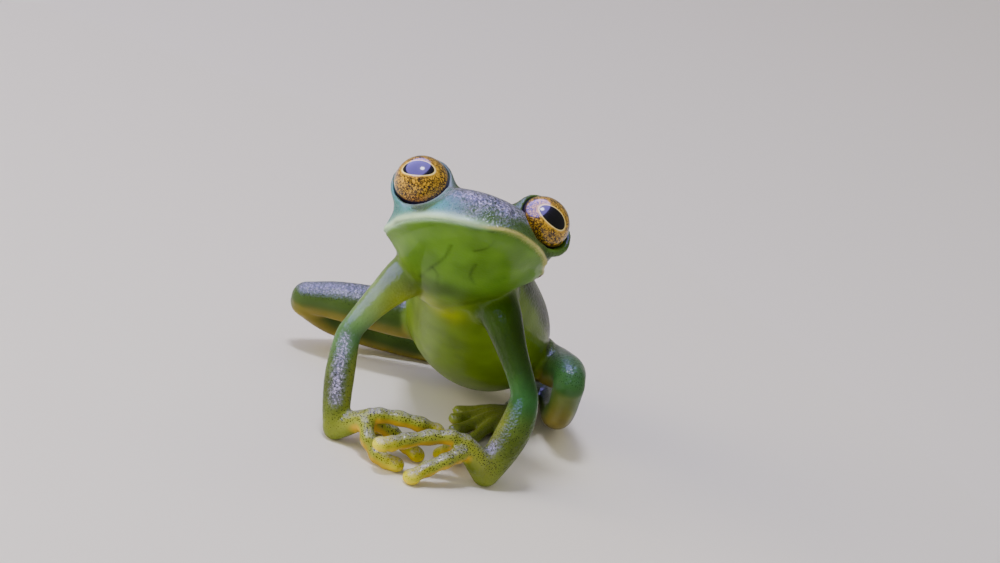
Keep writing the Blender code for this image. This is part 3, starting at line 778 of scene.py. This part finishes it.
def fill_folds(points, edges, weights):
    """Rounds the folds where limbs and head meet the trunk and where the eyes meet the head."""
    trunk = weights["trunk"]
    folds = 4 * trunk * (1 - trunk)
    for side in SIDES:
        _, along, _ = lid_view(points, side)
        near = bell(distance(points, eye_place(side)) - EYE_HOLLOW[0], EYE_HOLLOW[1])
        folds += near * rise(-along, -0.2, 0.6)
    folds += rise(-distance(points, TRUNK_STATIONS[-1][0]), *VENT_REACH)
    forward, _, up = to_head(points).T
    folds += 0.5 * weights["head"] * rise(forward, 3.0, 4.5) * rise(up, 0.7, 1.1)
    even = spread(points, edges, FOLD_PASSES)
    return points + (even - points) * np.clip(folds, 0, 1)[:, None]


def sculpt(points, normals):
    """Presses in the mouth and nostrils, and lays folds round the eyes, knuckles and throat."""
    lift = np.zeros(len(points))
    for up, inset, height, width in LIP_LINES:
        lift += height * bell(distance_to(points, lip_line(up, inset)), width)
    below_eyes = to_head(points)[:, 2] < EYE_UP
    for side, sign in SIDES.items():
        forward, out, up = NOSTRIL_PIT
        lift += PIT[0] * bell(distance(points, head_point(forward, sign * out, up)), PIT[1])
        from_eye = distance(points, eye_place(side))
        for radius, depth in EYE_FOLDS:
            depth = np.where(below_eyes, depth, 0.3 * depth)
            lift -= depth * bell(from_eye - radius, EYE_FOLD_WIDTH)
        for chain in FINGERS[side]:
            for knuckle in chain[1:-1]:
                lift += KNUCKLE[0] * bell(distance(points, knuckle), KNUCKLE[1])
    for fold in THROAT_FOLDS:
        line = [head_point(*place) for place in fold]
        lift += THROAT_FOLD[0] * bell(distance_to(points, line), THROAT_FOLD[1])
    return open_lids(points + normals * lift[:, None])


def regions(points, edges, samples):
    """How far each point belongs to each region of the body, soft at the borders."""
    tree = KDTree(sum(len(cloud) for cloud, _ in samples))
    names = []
    for cloud, region in samples:
        for place in cloud:
            tree.insert(place, len(names))
            names.append(REGIONS.index(region))
    tree.balance()
    weights = np.zeros((len(points), len(REGIONS)))
    for k, place in enumerate(points):
        weights[k, names[tree.find(place)[1]]] = 1
    weights = spread(weights, edges, REGION_PASSES)
    return {region: weights[:, k] for k, region in enumerate(REGIONS)}


class Markings:
    """The skin's colours and the strengths of its dots, grain and painted glints.

    Each marking fades in between two places of the body, or two slopes of its surface.
    """

    def __init__(self, points, normals, weights, colours):
        """Starts with the colour of the back all over."""
        self.points, self.normals, self.weights, self.colours = points, normals, weights, colours
        self.forward, self.left, self.up = to_head(points).T
        self.topside = normals[:, 2]
        # Along the back, without its curved ends
        rows = smoothed([centre for centre, _, _ in TRUNK_STATIONS], 4)
        back = Vector(rows[-6] - rows[2]).normalized()
        self.dorsal = normals @ np.array(back.cross(Vector((0, 0, 1)).cross(back).normalized()))
        self.tone = np.tile(np.array(colours.back), (len(points), 1))
        self.dots, self.grain, self.painted_glint = (np.zeros(len(points)) for _ in range(3))

    def mix(self, name, amount):
        """Mixes one of the frog's colours in."""
        colour = np.array(getattr(self.colours, name))
        self.tone += (colour - self.tone) * np.clip(amount, 0, 1)[:, None]

    def paint(self):
        """Lays the markings on, one region over the other."""
        self.paint_trunk()
        self.paint_head()
        self.paint_lids()
        self.paint_arms()
        self.paint_hands()
        self.paint_legs()
        self.paint_bands()

    def paint_trunk(self):
        """Green sides, a clear belly and an olive back."""
        on = self.weights["trunk"]
        # The sides are darker than the back: their own green, deepened as painted shade
        self.mix("flank_and_shade", on * rise(self.dorsal, 0.1, 0.4))
        self.mix("belly", on * rise(-self.dorsal, -0.25, 0.05))
        self.mix("back", on * rise(self.dorsal, 0.45, 0.85))
        self.dots += on * rise(self.dorsal, 0.1, 0.5) * 0.7
        self.grain += on * rise(self.dorsal, -0.1, 0.5)

    def paint_head(self):
        """Snout, cheek, lips, mouth line with painted shade in its crease, throat and the painted
        glints on the snout.
        """
        on = self.weights["head"]
        low = rise(-self.up, -0.1, 0.12)
        upright = rise(-self.normals @ np.array(HEAD_TURN.col[2]), -0.85, -0.45)
        face = on * upright * rise(self.forward, -2.5, 0.5)
        self.mix("snout", face)
        self.mix("cheek", face * rise(-self.left, 0.8, 2.8) * rise(-self.up, -2.6, -1.4))
        # Throat and belly run over the border of head and trunk
        under = on * low + self.weights["trunk"] * rise(-self.dorsal, -0.25, 0.05)
        self.mix("belly", under)
        self.mix("throat", under * rise(self.forward, -3.0, 1.0))
        at_lip = rise(self.forward, -1.2, 0.2) * on
        right_lip = rise(-self.left, -1.2, 1.0)
        lip = bell(self.up - 0.14, 0.2) * at_lip * (0.3 + 0.7 * right_lip)
        self.mix("lip", 1.2 * lip * right_lip)
        self.mix("lip_edge", bell(self.up - 0.08, 0.09) * at_lip * (0.85 - 0.65 * right_lip))
        # Painted shade along the crease of the mouth
        self.mix("flank_and_shade", bell(distance_to(self.points, lip_line(-0.13, 0.02), 16), 0.07) * 0.6)
        self.dots += on * (1 - low) * (1 - lip) * (0.55 + 0.3 * rise(self.up, 1.0, 2.2))
        self.grain += 0.12 * under + on * (1 - low) * (1 - 0.8 * lip)
        # Painted glints on the top of the snout, brightest over the nostril mounds
        self.painted_glint += on * rise(self.up, 0.8, 1.4) * rise(self.forward, 2.6, 5.0) * 0.6
        (forward, out, up), radius = NOSTRIL_MOUND
        for sign in SIDES.values():
            shine = head_point(forward + 0.3, sign * out, up + 0.15)
            self.painted_glint += 0.7 * bell(distance(self.points, shine), radius)

    def paint_lids(self):
        """Rims of the lids, palest below, with a painted highlight on the right one, and the
        corner of the mouth.
        """
        for side in SIDES:
            _, along, out = lid_view(self.points, side)
            rim = bell(out - LID_OPENING - 0.12, 0.28) * rise(along, -0.6, 0.1)
            rim *= self.weights["head"]
            from_eye = self.points - np.array(eye_place(side))
            pale = rise(from_eye @ np.array(LID_PALE[side]), 0.2, 1.6)
            # Pale lid rims; on the right lid partly a painted highlight
            self.mix(f"lid_{side}", rim * (0.1 + 0.85 * pale))
            self.dots *= 1 - 0.8 * rim
            self.grain *= 1 - 0.6 * rim
        self.mix("corner", bell(distance(self.points, head_point(*MOUTH_CORNER)), 0.34))

    def paint_arms(self):
        """A pale right upper arm and a left one in painted shade, elbows, forearms with painted
        highlights along them, wrists.
        """
        on = self.weights["arm"]
        for side, sign in SIDES.items():
            arm = [place for place, _ in ARMS[side]]
            here = on * (self.points[:, 0] * sign > 0)
            drop = rise(arm[ELBOW][2] - self.points[:, 2], -0.2, 1.2)
            # The left upper arm is painted in shade; the right keeps its pale green
            self.mix("upper_arm" if side == "right" else "painted_shade", here * (1 - drop))
            self.mix("forearm", here * drop)
            self.mix("elbow", here * bell(distance(self.points, arm[ELBOW]), 1.5) * 0.85)
            self.mix("wrist", here * bell(distance(self.points, arm[WRIST]), 1.3))
            inner = rise(self.normals[:, 0] * -sign, 0.35, 0.9)
            self.mix("hand", here * inner * drop * 0.6)
            self.dots += here * (0.3 + 0.3 * drop)
            self.grain += here * (0.3 + 0.5 * drop)
            # A painted highlight along each forearm
            start, end = ARM_SHINE_SPAN[side]
            line = [Vector(place) + Vector(ARM_SHINE[side]) for place in arm[start:end]]
            self.painted_glint += here * bell(distance_to(self.points, line), 0.36)
        self.mix("belly", on * rise(self.points[:, 1], 3.4, 5.2) * 0.8)

    def paint_hands(self):
        """Hands with golden undersides, painted glints along their tops and bright discs at the
        fingertips.
        """
        on = self.weights["hand"]
        self.mix("hand", on)
        self.mix("wrist", on * rise(-self.topside, -0.1, 0.5))
        self.dots += on * rise(self.topside, -0.3, 0.2) * 0.8
        self.grain += on * 0.3
        # Painted glints along the tops of the hands
        self.painted_glint += on * rise(self.topside, 0.5, 0.95) * 0.45
        for chain in (*FINGERS["right"], *FINGERS["left"]):
            finger = on * rise(-distance_to(self.points, chain[1:]), -1.2, -0.7)
            self.mix("palm", finger * rise(-self.topside, -0.1, 0.35) * 0.7)
            tip = distance(self.points, chain[-1])
            self.mix("disc", on * bell(tip, 0.72) * 0.8)
            self.dots *= 1 - 0.6 * on * bell(tip, 0.6)

    def paint_legs(self):
        """Hind legs with a painted sheen along the top and painted glints on the right thigh, the
        left knee and the feet.
        """
        on = self.weights["leg"] + 0.8 * self.weights["foot"]
        self.mix("leg", on)
        # Painted sheen along the tops of the legs
        self.mix("leg_sheen", on * rise(self.topside, 0.35, 0.85) * 0.6)
        self.mix("palm", on * rise(-self.topside, 0.1, 0.8) * 0.3)
        knee = LEGS["left"]["thigh"][-1][0]
        self.mix("elbow", on * bell(distance(self.points, knee), 2.0) * 0.8)
        self.dots += on * rise(self.topside, -0.2, 0.4) * 0.6
        self.grain += on * rise(self.topside, -0.2, 0.4) * 0.6
        right_leg = rise(-self.points[:, 0], -1.0, 3.0)
        thigh = rise(self.points[:, 2], 2.2, 3.6) * self.weights["leg"]
        # Painted glints along the top of the right thigh
        self.painted_glint += thigh * rise(self.topside, 0.3, 0.8) * (0.05 + 0.35 * right_leg)
        self.mix("hand", self.weights["foot"] * 0.5)

    def paint_bands(self):
        """The yellow band at the armpits, the painted shadow under the chin, veins, and the
        painted sheen under all painted glints.
        """
        self.mix("armpit", 0.9 * bell(distance_to(self.points, ARMPIT_BAND), 0.9))
        # Painted shadow under the chin
        self.mix("painted_shade", 0.6 * bell(distance_to(self.points, CHIN_SHADOW), 0.95))
        for vein in VEINS:
            self.mix("flank_and_shade", 0.5 * bell(distance_to(self.points, vein, 16), 0.1))
        # A violet grey painted sheen under the painted glints
        self.mix("painted_sheen", 0.6 * self.painted_glint)


def write_attribute(mesh, name, values):
    """Stores one colour or one number for each point of the mesh."""
    if values.ndim == 2:
        attribute = mesh.attributes.new(name, "FLOAT_COLOR", "POINT")
        values = np.hstack((np.clip(values, 0, 1), np.ones((len(values), 1))))
        attribute.data.foreach_set("color", values.astype(np.float32).ravel())
    else:
        attribute = mesh.attributes.new(name, "FLOAT", "POINT")
        attribute.data.foreach_set("value", np.clip(values, 0, 1).astype(np.float32))


def add_node(tree, kind, inputs=None, **settings):
    """Adds a node. An input is a value, a socket, or a node whose first socket is meant."""
    made = tree.nodes.new("ShaderNode" + kind)
    for name, value in settings.items():
        setattr(made, name, value)
    for name, value in (inputs or {}).items():
        if isinstance(value, bpy.types.Node):
            value = value.outputs[0]
        if isinstance(value, bpy.types.NodeSocket):
            tree.links.new(value, made.inputs[name])
        else:
            made.inputs[name].default_value = value
    return made


def pattern(place, size, **more):
    """Inputs of a texture with cells or waves of a size in metres."""
    return {"Vector": place, "Scale": 1 / size, **more}


def span(value, start, end, low=0.0, high=1.0):
    """Inputs that turn start to end into low to high."""
    return {"Value": value, "From Min": start, "From Max": end, "To Min": low, "To Max": high}


def new_material(name, values):
    """A material, its nodes and its shader, whose own sockets have the values."""
    material = bpy.data.materials.new(name)
    material.use_nodes = True
    shader = material.node_tree.nodes["Principled BSDF"]
    for socket, value in values.items():
        shader.inputs[socket].default_value = value
    return material, material.node_tree, shader


# Moist, thin frog skin: pigment dots and fine grains under a film of water, which breaks its
# highlights into many small ones, while a little light glows through the colour below
# Lavender glints and a violet sheen are also painted into its colour
def skin_material(sizes, colours):
    """Shades the skin by its attributes, with patterns at their real sizes."""
    material, tree, shader = new_material("moist_frog_skin", {
        "Roughness": 0.4, "Specular IOR Level": 0.05, "Coat Weight": 0.32,
        "Coat Roughness": 0.1, "Subsurface Weight": 0.25, "Subsurface Scale": 0.5 * MM,
        "Subsurface Radius": (0.9, 1.0, 0.4)})
    add = partial(add_node, tree)
    place = add("TexCoord").outputs["Object"]
    tone = add("Attribute", attribute_name="tone").outputs["Color"]
    dots, grain, painted_glint = (add("Attribute", attribute_name=name).outputs["Fac"]
                          for name in ("dots", "grain", "painted_glint"))
    # Black dots, wider where there are more of them
    cells = add("TexVoronoi", pattern(place, sizes.dot_spacing, Randomness=1.0))
    reach = add("Math", {0: dots, 1: 0.5}, operation="MULTIPLY")
    inside = add("Math", {0: reach, 1: cells}, operation="SUBTRACT")
    spot = add("MapRange", span(inside, 0.0, 0.1))
    # Clouds and plates that shade the colour
    cloud = add("TexNoise", pattern(place, CLOUD * MM, Detail=1.0))
    shade = add("MapRange", span(cloud, 0.35, 0.65, 0.86, 1.12))
    plates = add("TexVoronoi", pattern(place, PLATE * MM), feature="SMOOTH_F1")
    plate = add("SeparateColor", {0: plates.outputs["Color"]})
    mosaic = add("MapRange", span(plate, 0.0, 1.0, 0.95, 1.06))
    patched = add("Math", {0: shade, 1: mosaic}, operation="MULTIPLY")
    lit = add("VectorMath", {0: tone, 1: patched}, operation="MULTIPLY")
    mixed = add("Mix", {0: spot, 6: lit, 7: (*colours.dots, 1.0)}, data_type="RGBA").outputs[2]
    # Painted glints: pale lavender specks where the wet skin would shine
    glint = add("TexNoise", pattern(place, GLINT * MM, Detail=3.0, Roughness=0.7))
    sparkle = add("MapRange", span(glint, 0.48, 0.62))
    glint_mask = add("Math", {0: sparkle, 1: painted_glint}, operation="MULTIPLY", use_clamp=True)
    shining = add("Mix", {0: glint_mask, 6: mixed, 7: (*colours.painted_glint, 1.0)},
                  data_type="RGBA").outputs[2]
    tree.links.new(shining, shader.inputs["Base Color"])
    # Grains on the back, and creases under the glints
    grains = add("TexVoronoi", pattern(place, sizes.grain_spacing))
    grained = add("Math", {0: grains, 1: grain}, operation="MULTIPLY")
    creases = add("TexNoise", pattern(place, CREASE * MM, Detail=3.0))
    creased = add("Math", {0: creases, 1: painted_glint}, operation="MULTIPLY")
    height = add("Math", {0: creased, 1: 2.5, 2: grained}, operation="MULTIPLY_ADD")
    bump = add("Bump", {"Height": height, "Strength": 0.9, "Distance": GRAIN_DEPTH * MM},
               invert=True)
    for socket in ("Normal", "Coat Normal"):
        tree.links.new(bump.outputs[0], shader.inputs[socket])
    return material


# Wet cornea over a golden iris with a wide pupil: a sharp, bright highlight lies over matt,
# cracked gold
def eye_material(side, sizes, colours):
    """Shades an eye by the way it looks, with patterns at their real sizes."""
    material, tree, shader = new_material(f"{side}_eye_glossy_cornea", {
        "Roughness": 0.3, "Specular IOR Level": 0.1, "Coat Weight": 0.8, "Coat Roughness": 0.03})
    centre = (eye_place(side) + SHIFT) * MM
    gaze, across = Vector(GAZE[side][0]).normalized(), Vector(GAZE[side][1])
    across = (across - across.project(gaze)).normalized()
    add = partial(add_node, tree)
    place = add("TexCoord").outputs["Object"]
    local = add("VectorMath", {0: place, 1: tuple(centre)}, operation="SUBTRACT")

    def along(axis, half_size):
        """How far a point of the ball lies along an axis, in half sizes."""
        return add("VectorMath", {0: local, 1: tuple(axis / half_size)},
                   operation="DOT_PRODUCT").outputs["Value"]

    across_eye = along(across, sizes.pupil_width / 2)
    up_eye = along(gaze.cross(across), sizes.pupil_height / 2)
    ahead = along(gaze, EYE_RADIUS * MM)
    opened = along(LID_AXES[side], EYE_RADIUS * MM)
    # From 0 in the middle of the pupil to 1 at the edge of the iris
    flat = add("CombineXYZ", {0: across_eye, 1: up_eye, 2: 0.0})
    reach = add("VectorMath", {0: flat}, operation="LENGTH").outputs["Value"]
    behind = add("Math", {0: ahead, 1: 0.0}, operation="LESS_THAN")
    ellipse = add("Math", {0: behind, 1: IRIS_REACH, 2: reach}, operation="MULTIPLY_ADD")
    part = add("MapRange", span(ellipse, 0.0, IRIS_REACH))
    ramp = add("ValToRGB", {0: part})
    # Share of the way out, and the shade there
    black = linear(PUPIL_COLOUR)[:3]
    stops = ((0.0, black), (0.238, black), (0.246, colours.pupil_ring),
             (0.254, colours.pupil_ring), (0.268, colours.iris),
             (0.6, [c * 0.7 for c in colours.iris]), (0.85, colours.iris_rim))
    while len(ramp.color_ramp.elements) < len(stops):
        ramp.color_ramp.elements.new(0.5)
    for element, (position, colour) in zip(ramp.color_ramp.elements, stops):
        element.position = position
        element.color = (*colour, 1.0)
    # Bent cracks in patches of the iris, beyond the ring round the pupil
    swirl = add("TexNoise", pattern(place, SWIRL * MM, Detail=3.0))
    bent = add("VectorMath", {0: swirl.outputs["Color"], 1: (CRACK_BEND * MM,) * 3, 2: place},
               operation="MULTIPLY_ADD").outputs[0]
    web = add("TexVoronoi", pattern(bent, CRACK * MM), feature="DISTANCE_TO_EDGE")
    line = add("MapRange", span(web.outputs["Distance"], 0.04, 0.24, 1.0, 0.0))
    warp = add("TexNoise", pattern(place, CRACK_PATCH * MM, Detail=4.0))
    patch = add("MapRange", span(warp, 0.3, 0.45))
    beyond = add("MapRange", span(part, 0.26, 0.3))
    cracks = add("Math", {0: line, 1: patch}, operation="MULTIPLY")
    shown = add("Math", {0: cracks, 1: beyond}, operation="MULTIPLY")
    iris = add("Mix", {0: shown, 6: ramp, 7: linear(CRACK_COLOUR)}, data_type="RGBA").outputs[2]
    # The lids' shadow
    edge = add("MapRange", span(opened, 0.3, 0.2))
    rimmed = add("Mix", {0: edge, 6: iris, 7: linear(LID_SHADOW)}, data_type="RGBA")
    tree.links.new(rimmed.outputs[2], shader.inputs["Base Color"])
    return material


# Plain pale paper under the frog: no highlight, only soft shadows
def floor_material():
    """A dull, even white."""
    return new_material("pale_paper", {"Base Color": linear(FLOOR_COLOUR), "Roughness": 0.9})[0]


def keep_skin(skin):
    """Removes the closed skins of hollows inside the flesh, leaving the one outside."""
    top = int(coordinates(skin.data)[:, 2].argmax())
    bpy.ops.object.mode_set(mode="EDIT")
    bpy.ops.mesh.select_all(action="DESELECT")
    bpy.ops.object.mode_set(mode="OBJECT")
    skin.data.vertices[top].select = True
    bpy.ops.object.mode_set(mode="EDIT")
    bpy.ops.mesh.select_linked()
    bpy.ops.mesh.select_all(action="INVERT")
    bpy.ops.mesh.delete(type="VERT")
    bpy.ops.object.mode_set(mode="OBJECT")


def move_points(mesh, points):
    """Puts the mesh's points where they are wanted."""
    mesh.vertices.foreach_set("co", points.ravel())
    mesh.update()


class FROG_OT_skin(bpy.types.Operator):
    """Fuses the flesh into one skin and colours it"""
    bl_idname = "frog.skin"
    bl_label = "Skin"

    def execute(self, context):
        sizes, colours = context.scene.frog_sizes, context.scene.frog_colours
        forms = flesh_forms()
        # Every second point of a form is enough to tell its region by
        samples = [(coordinates(form.data)[::2], region) for form, region in forms]
        choose(*[form for form, _ in forms])
        bpy.ops.object.join()
        skin = context.object
        skin.name = "frog_skin"
        remesh = skin.modifiers.new("Fuse", "REMESH")
        remesh.mode = "VOXEL"
        remesh.voxel_size = sizes.skin_grid / MM
        bpy.ops.object.modifier_apply(modifier=remesh.name)
        smooth = skin.modifiers.new("Soften", "SMOOTH")
        smooth.factor = SOFTENING
        smooth.iterations = sizes.smoothing
        bpy.ops.object.modifier_apply(modifier=smooth.name)
        keep_skin(skin)
        mesh = skin.data
        edges = np.empty(len(mesh.edges) * 2, int)
        mesh.edges.foreach_get("vertices", edges)
        edges = edges.reshape(-1, 2)
        points = coordinates(mesh)
        weights = regions(points, edges, samples)
        points = fill_folds(points, edges, weights)
        move_points(mesh, points)
        points = soften_lids(sculpt(points, coordinates(mesh, "normal")), edges)
        low, high = (np.array(corner) / MM - np.array(SHIFT) for corner in CAD_BOX)
        points = np.clip(points, low, high)
        move_points(mesh, points)
        markings = Markings(points, coordinates(mesh, "normal"), weights, colours)
        markings.paint()
        move_points(mesh, sag_lip(points, weights))
        for name in ("tone", "dots", "grain", "painted_glint"):
            write_attribute(mesh, name, getattr(markings, name))
        mesh.transform(Matrix.Scale(MM, 4) @ Matrix.Translation(SHIFT))
        choose(skin)
        bpy.ops.object.shade_smooth()
        mesh.materials.clear()
        mesh.materials.append(skin_material(sizes, colours))
        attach(skin, "root")
        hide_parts(*FLESH_NODES)
        return {"FINISHED"}


class FROG_OT_eyes(bpy.types.Operator):
    """Adds the two eyeballs"""
    bl_idname = "frog.eyes"
    bl_label = "Eyes"

    def execute(self, context):
        sizes, colours = context.scene.frog_sizes, context.scene.frog_colours
        for side in SIDES:
            eye = add_ball(eye_place(side), (EYE_RADIUS,) * 3, LID_AXES[side],
                           segments=EYE_SIDES)
            eye.name = f"{side}_eyeball"
            eye.data.transform(Matrix.Scale(MM, 4) @ Matrix.Translation(SHIFT))
            choose(eye)
            bpy.ops.object.shade_smooth()
            eye.data.materials.append(eye_material(side, sizes, colours))
            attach(eye, "root")
            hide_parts(f"{side}_eye")
        return {"FINISHED"}


class FROG_OT_stage(bpy.types.Operator):
    """Adds the floor, the lights and the camera"""
    bl_idname = "frog.stage"
    bl_label = "Stage"

    def execute(self, context):
        bpy.ops.mesh.primitive_plane_add(size=FLOOR_SIZE_M, location=(0, 0, 0))
        floor = context.object
        floor.name = "floor"
        floor.data.materials.append(floor_material())
        for name, place, size, power_w, colour in LIGHTS:
            add_light(name, place, size, power_w, linear(colour)[:3])
        world = bpy.data.worlds.new("soft_studio")
        context.scene.world = world
        world.use_nodes = True
        background = world.node_tree.nodes["Background"]
        background.inputs[0].default_value = linear(ROOM_COLOUR)
        background.inputs[1].default_value = ROOM_STRENGTH
        add_camera(context.scene)
        return {"FINISHED"}


def add_light(name, place, size, power_w, colour):
    """An area light facing the frog's head."""
    target = (Vector(LIGHT_TARGET) + SHIFT) * MM
    place = (Vector(place) + SHIFT) * MM
    turn = (place - target).to_track_quat("Z", "Y").to_euler()
    bpy.ops.object.light_add(type="AREA", location=place, rotation=turn)
    light = bpy.context.object
    light.name = name
    light.data.shape = "ELLIPSE"
    light.data.size, light.data.size_y = size[0] * MM, size[1] * MM
    light.data.energy = power_w
    light.data.color = colour
    light.visible_diffuse = not name.startswith("shine")
    light.visible_glossy = not name.startswith("fill")


def add_camera(scene):
    """A long lens looking down at the frog's face, rolled as the photograph is."""
    forward = Vector((0, math.cos(CAMERA_FALL), -math.sin(CAMERA_FALL)))
    up = Vector((0, math.sin(CAMERA_FALL), math.cos(CAMERA_FALL)))
    right = Vector((1, 0, 0))
    across = math.cos(CAMERA_ROLL) * right + math.sin(CAMERA_ROLL) * up
    above = -math.sin(CAMERA_ROLL) * right + math.cos(CAMERA_ROLL) * up
    place = Vector(CAMERA_TARGET) - forward * CAMERA_DISTANCE + SHIFT
    turn = Matrix((across, above, -forward)).transposed()
    bpy.ops.object.camera_add(location=place * MM, rotation=turn.to_euler())
    camera = bpy.context.object
    camera.data.lens = LENS
    camera.data.sensor_width = SENSOR_WIDTH
    camera.data.sensor_fit = "HORIZONTAL"
    camera.data.clip_start = MM
    scene.camera = camera


class FROG_PT_panel(bpy.types.Panel):
    bl_label = "Glass frog"
    bl_idname = "FROG_PT_panel"
    bl_space_type = "VIEW_3D"
    bl_region_type = "UI"
    bl_category = "Glass frog"

    def draw(self, context):
        for group in (context.scene.frog_sizes, context.scene.frog_colours):
            for name in group.__annotations__:
                self.layout.prop(group, name)
        for operator in OPERATORS:
            self.layout.operator(operator.bl_idname)


OPERATORS = (FROG_OT_skin, FROG_OT_eyes, FROG_OT_stage)
CLASSES = (FrogSizes, FrogColours, *OPERATORS, FROG_PT_panel)


def register():
    for cls in CLASSES:
        bpy.utils.register_class(cls)
    bpy.types.Scene.frog_sizes = PointerProperty(type=FrogSizes)
    bpy.types.Scene.frog_colours = PointerProperty(type=FrogColours)


def unregister():
    del bpy.types.Scene.frog_colours
    del bpy.types.Scene.frog_sizes
    for cls in reversed(CLASSES):
        bpy.utils.unregister_class(cls)


def main():
    register()
    bpy.ops.frog.skin()
    bpy.ops.frog.eyes()
    bpy.ops.frog.stage()


if __name__ == "__main__":
    main()
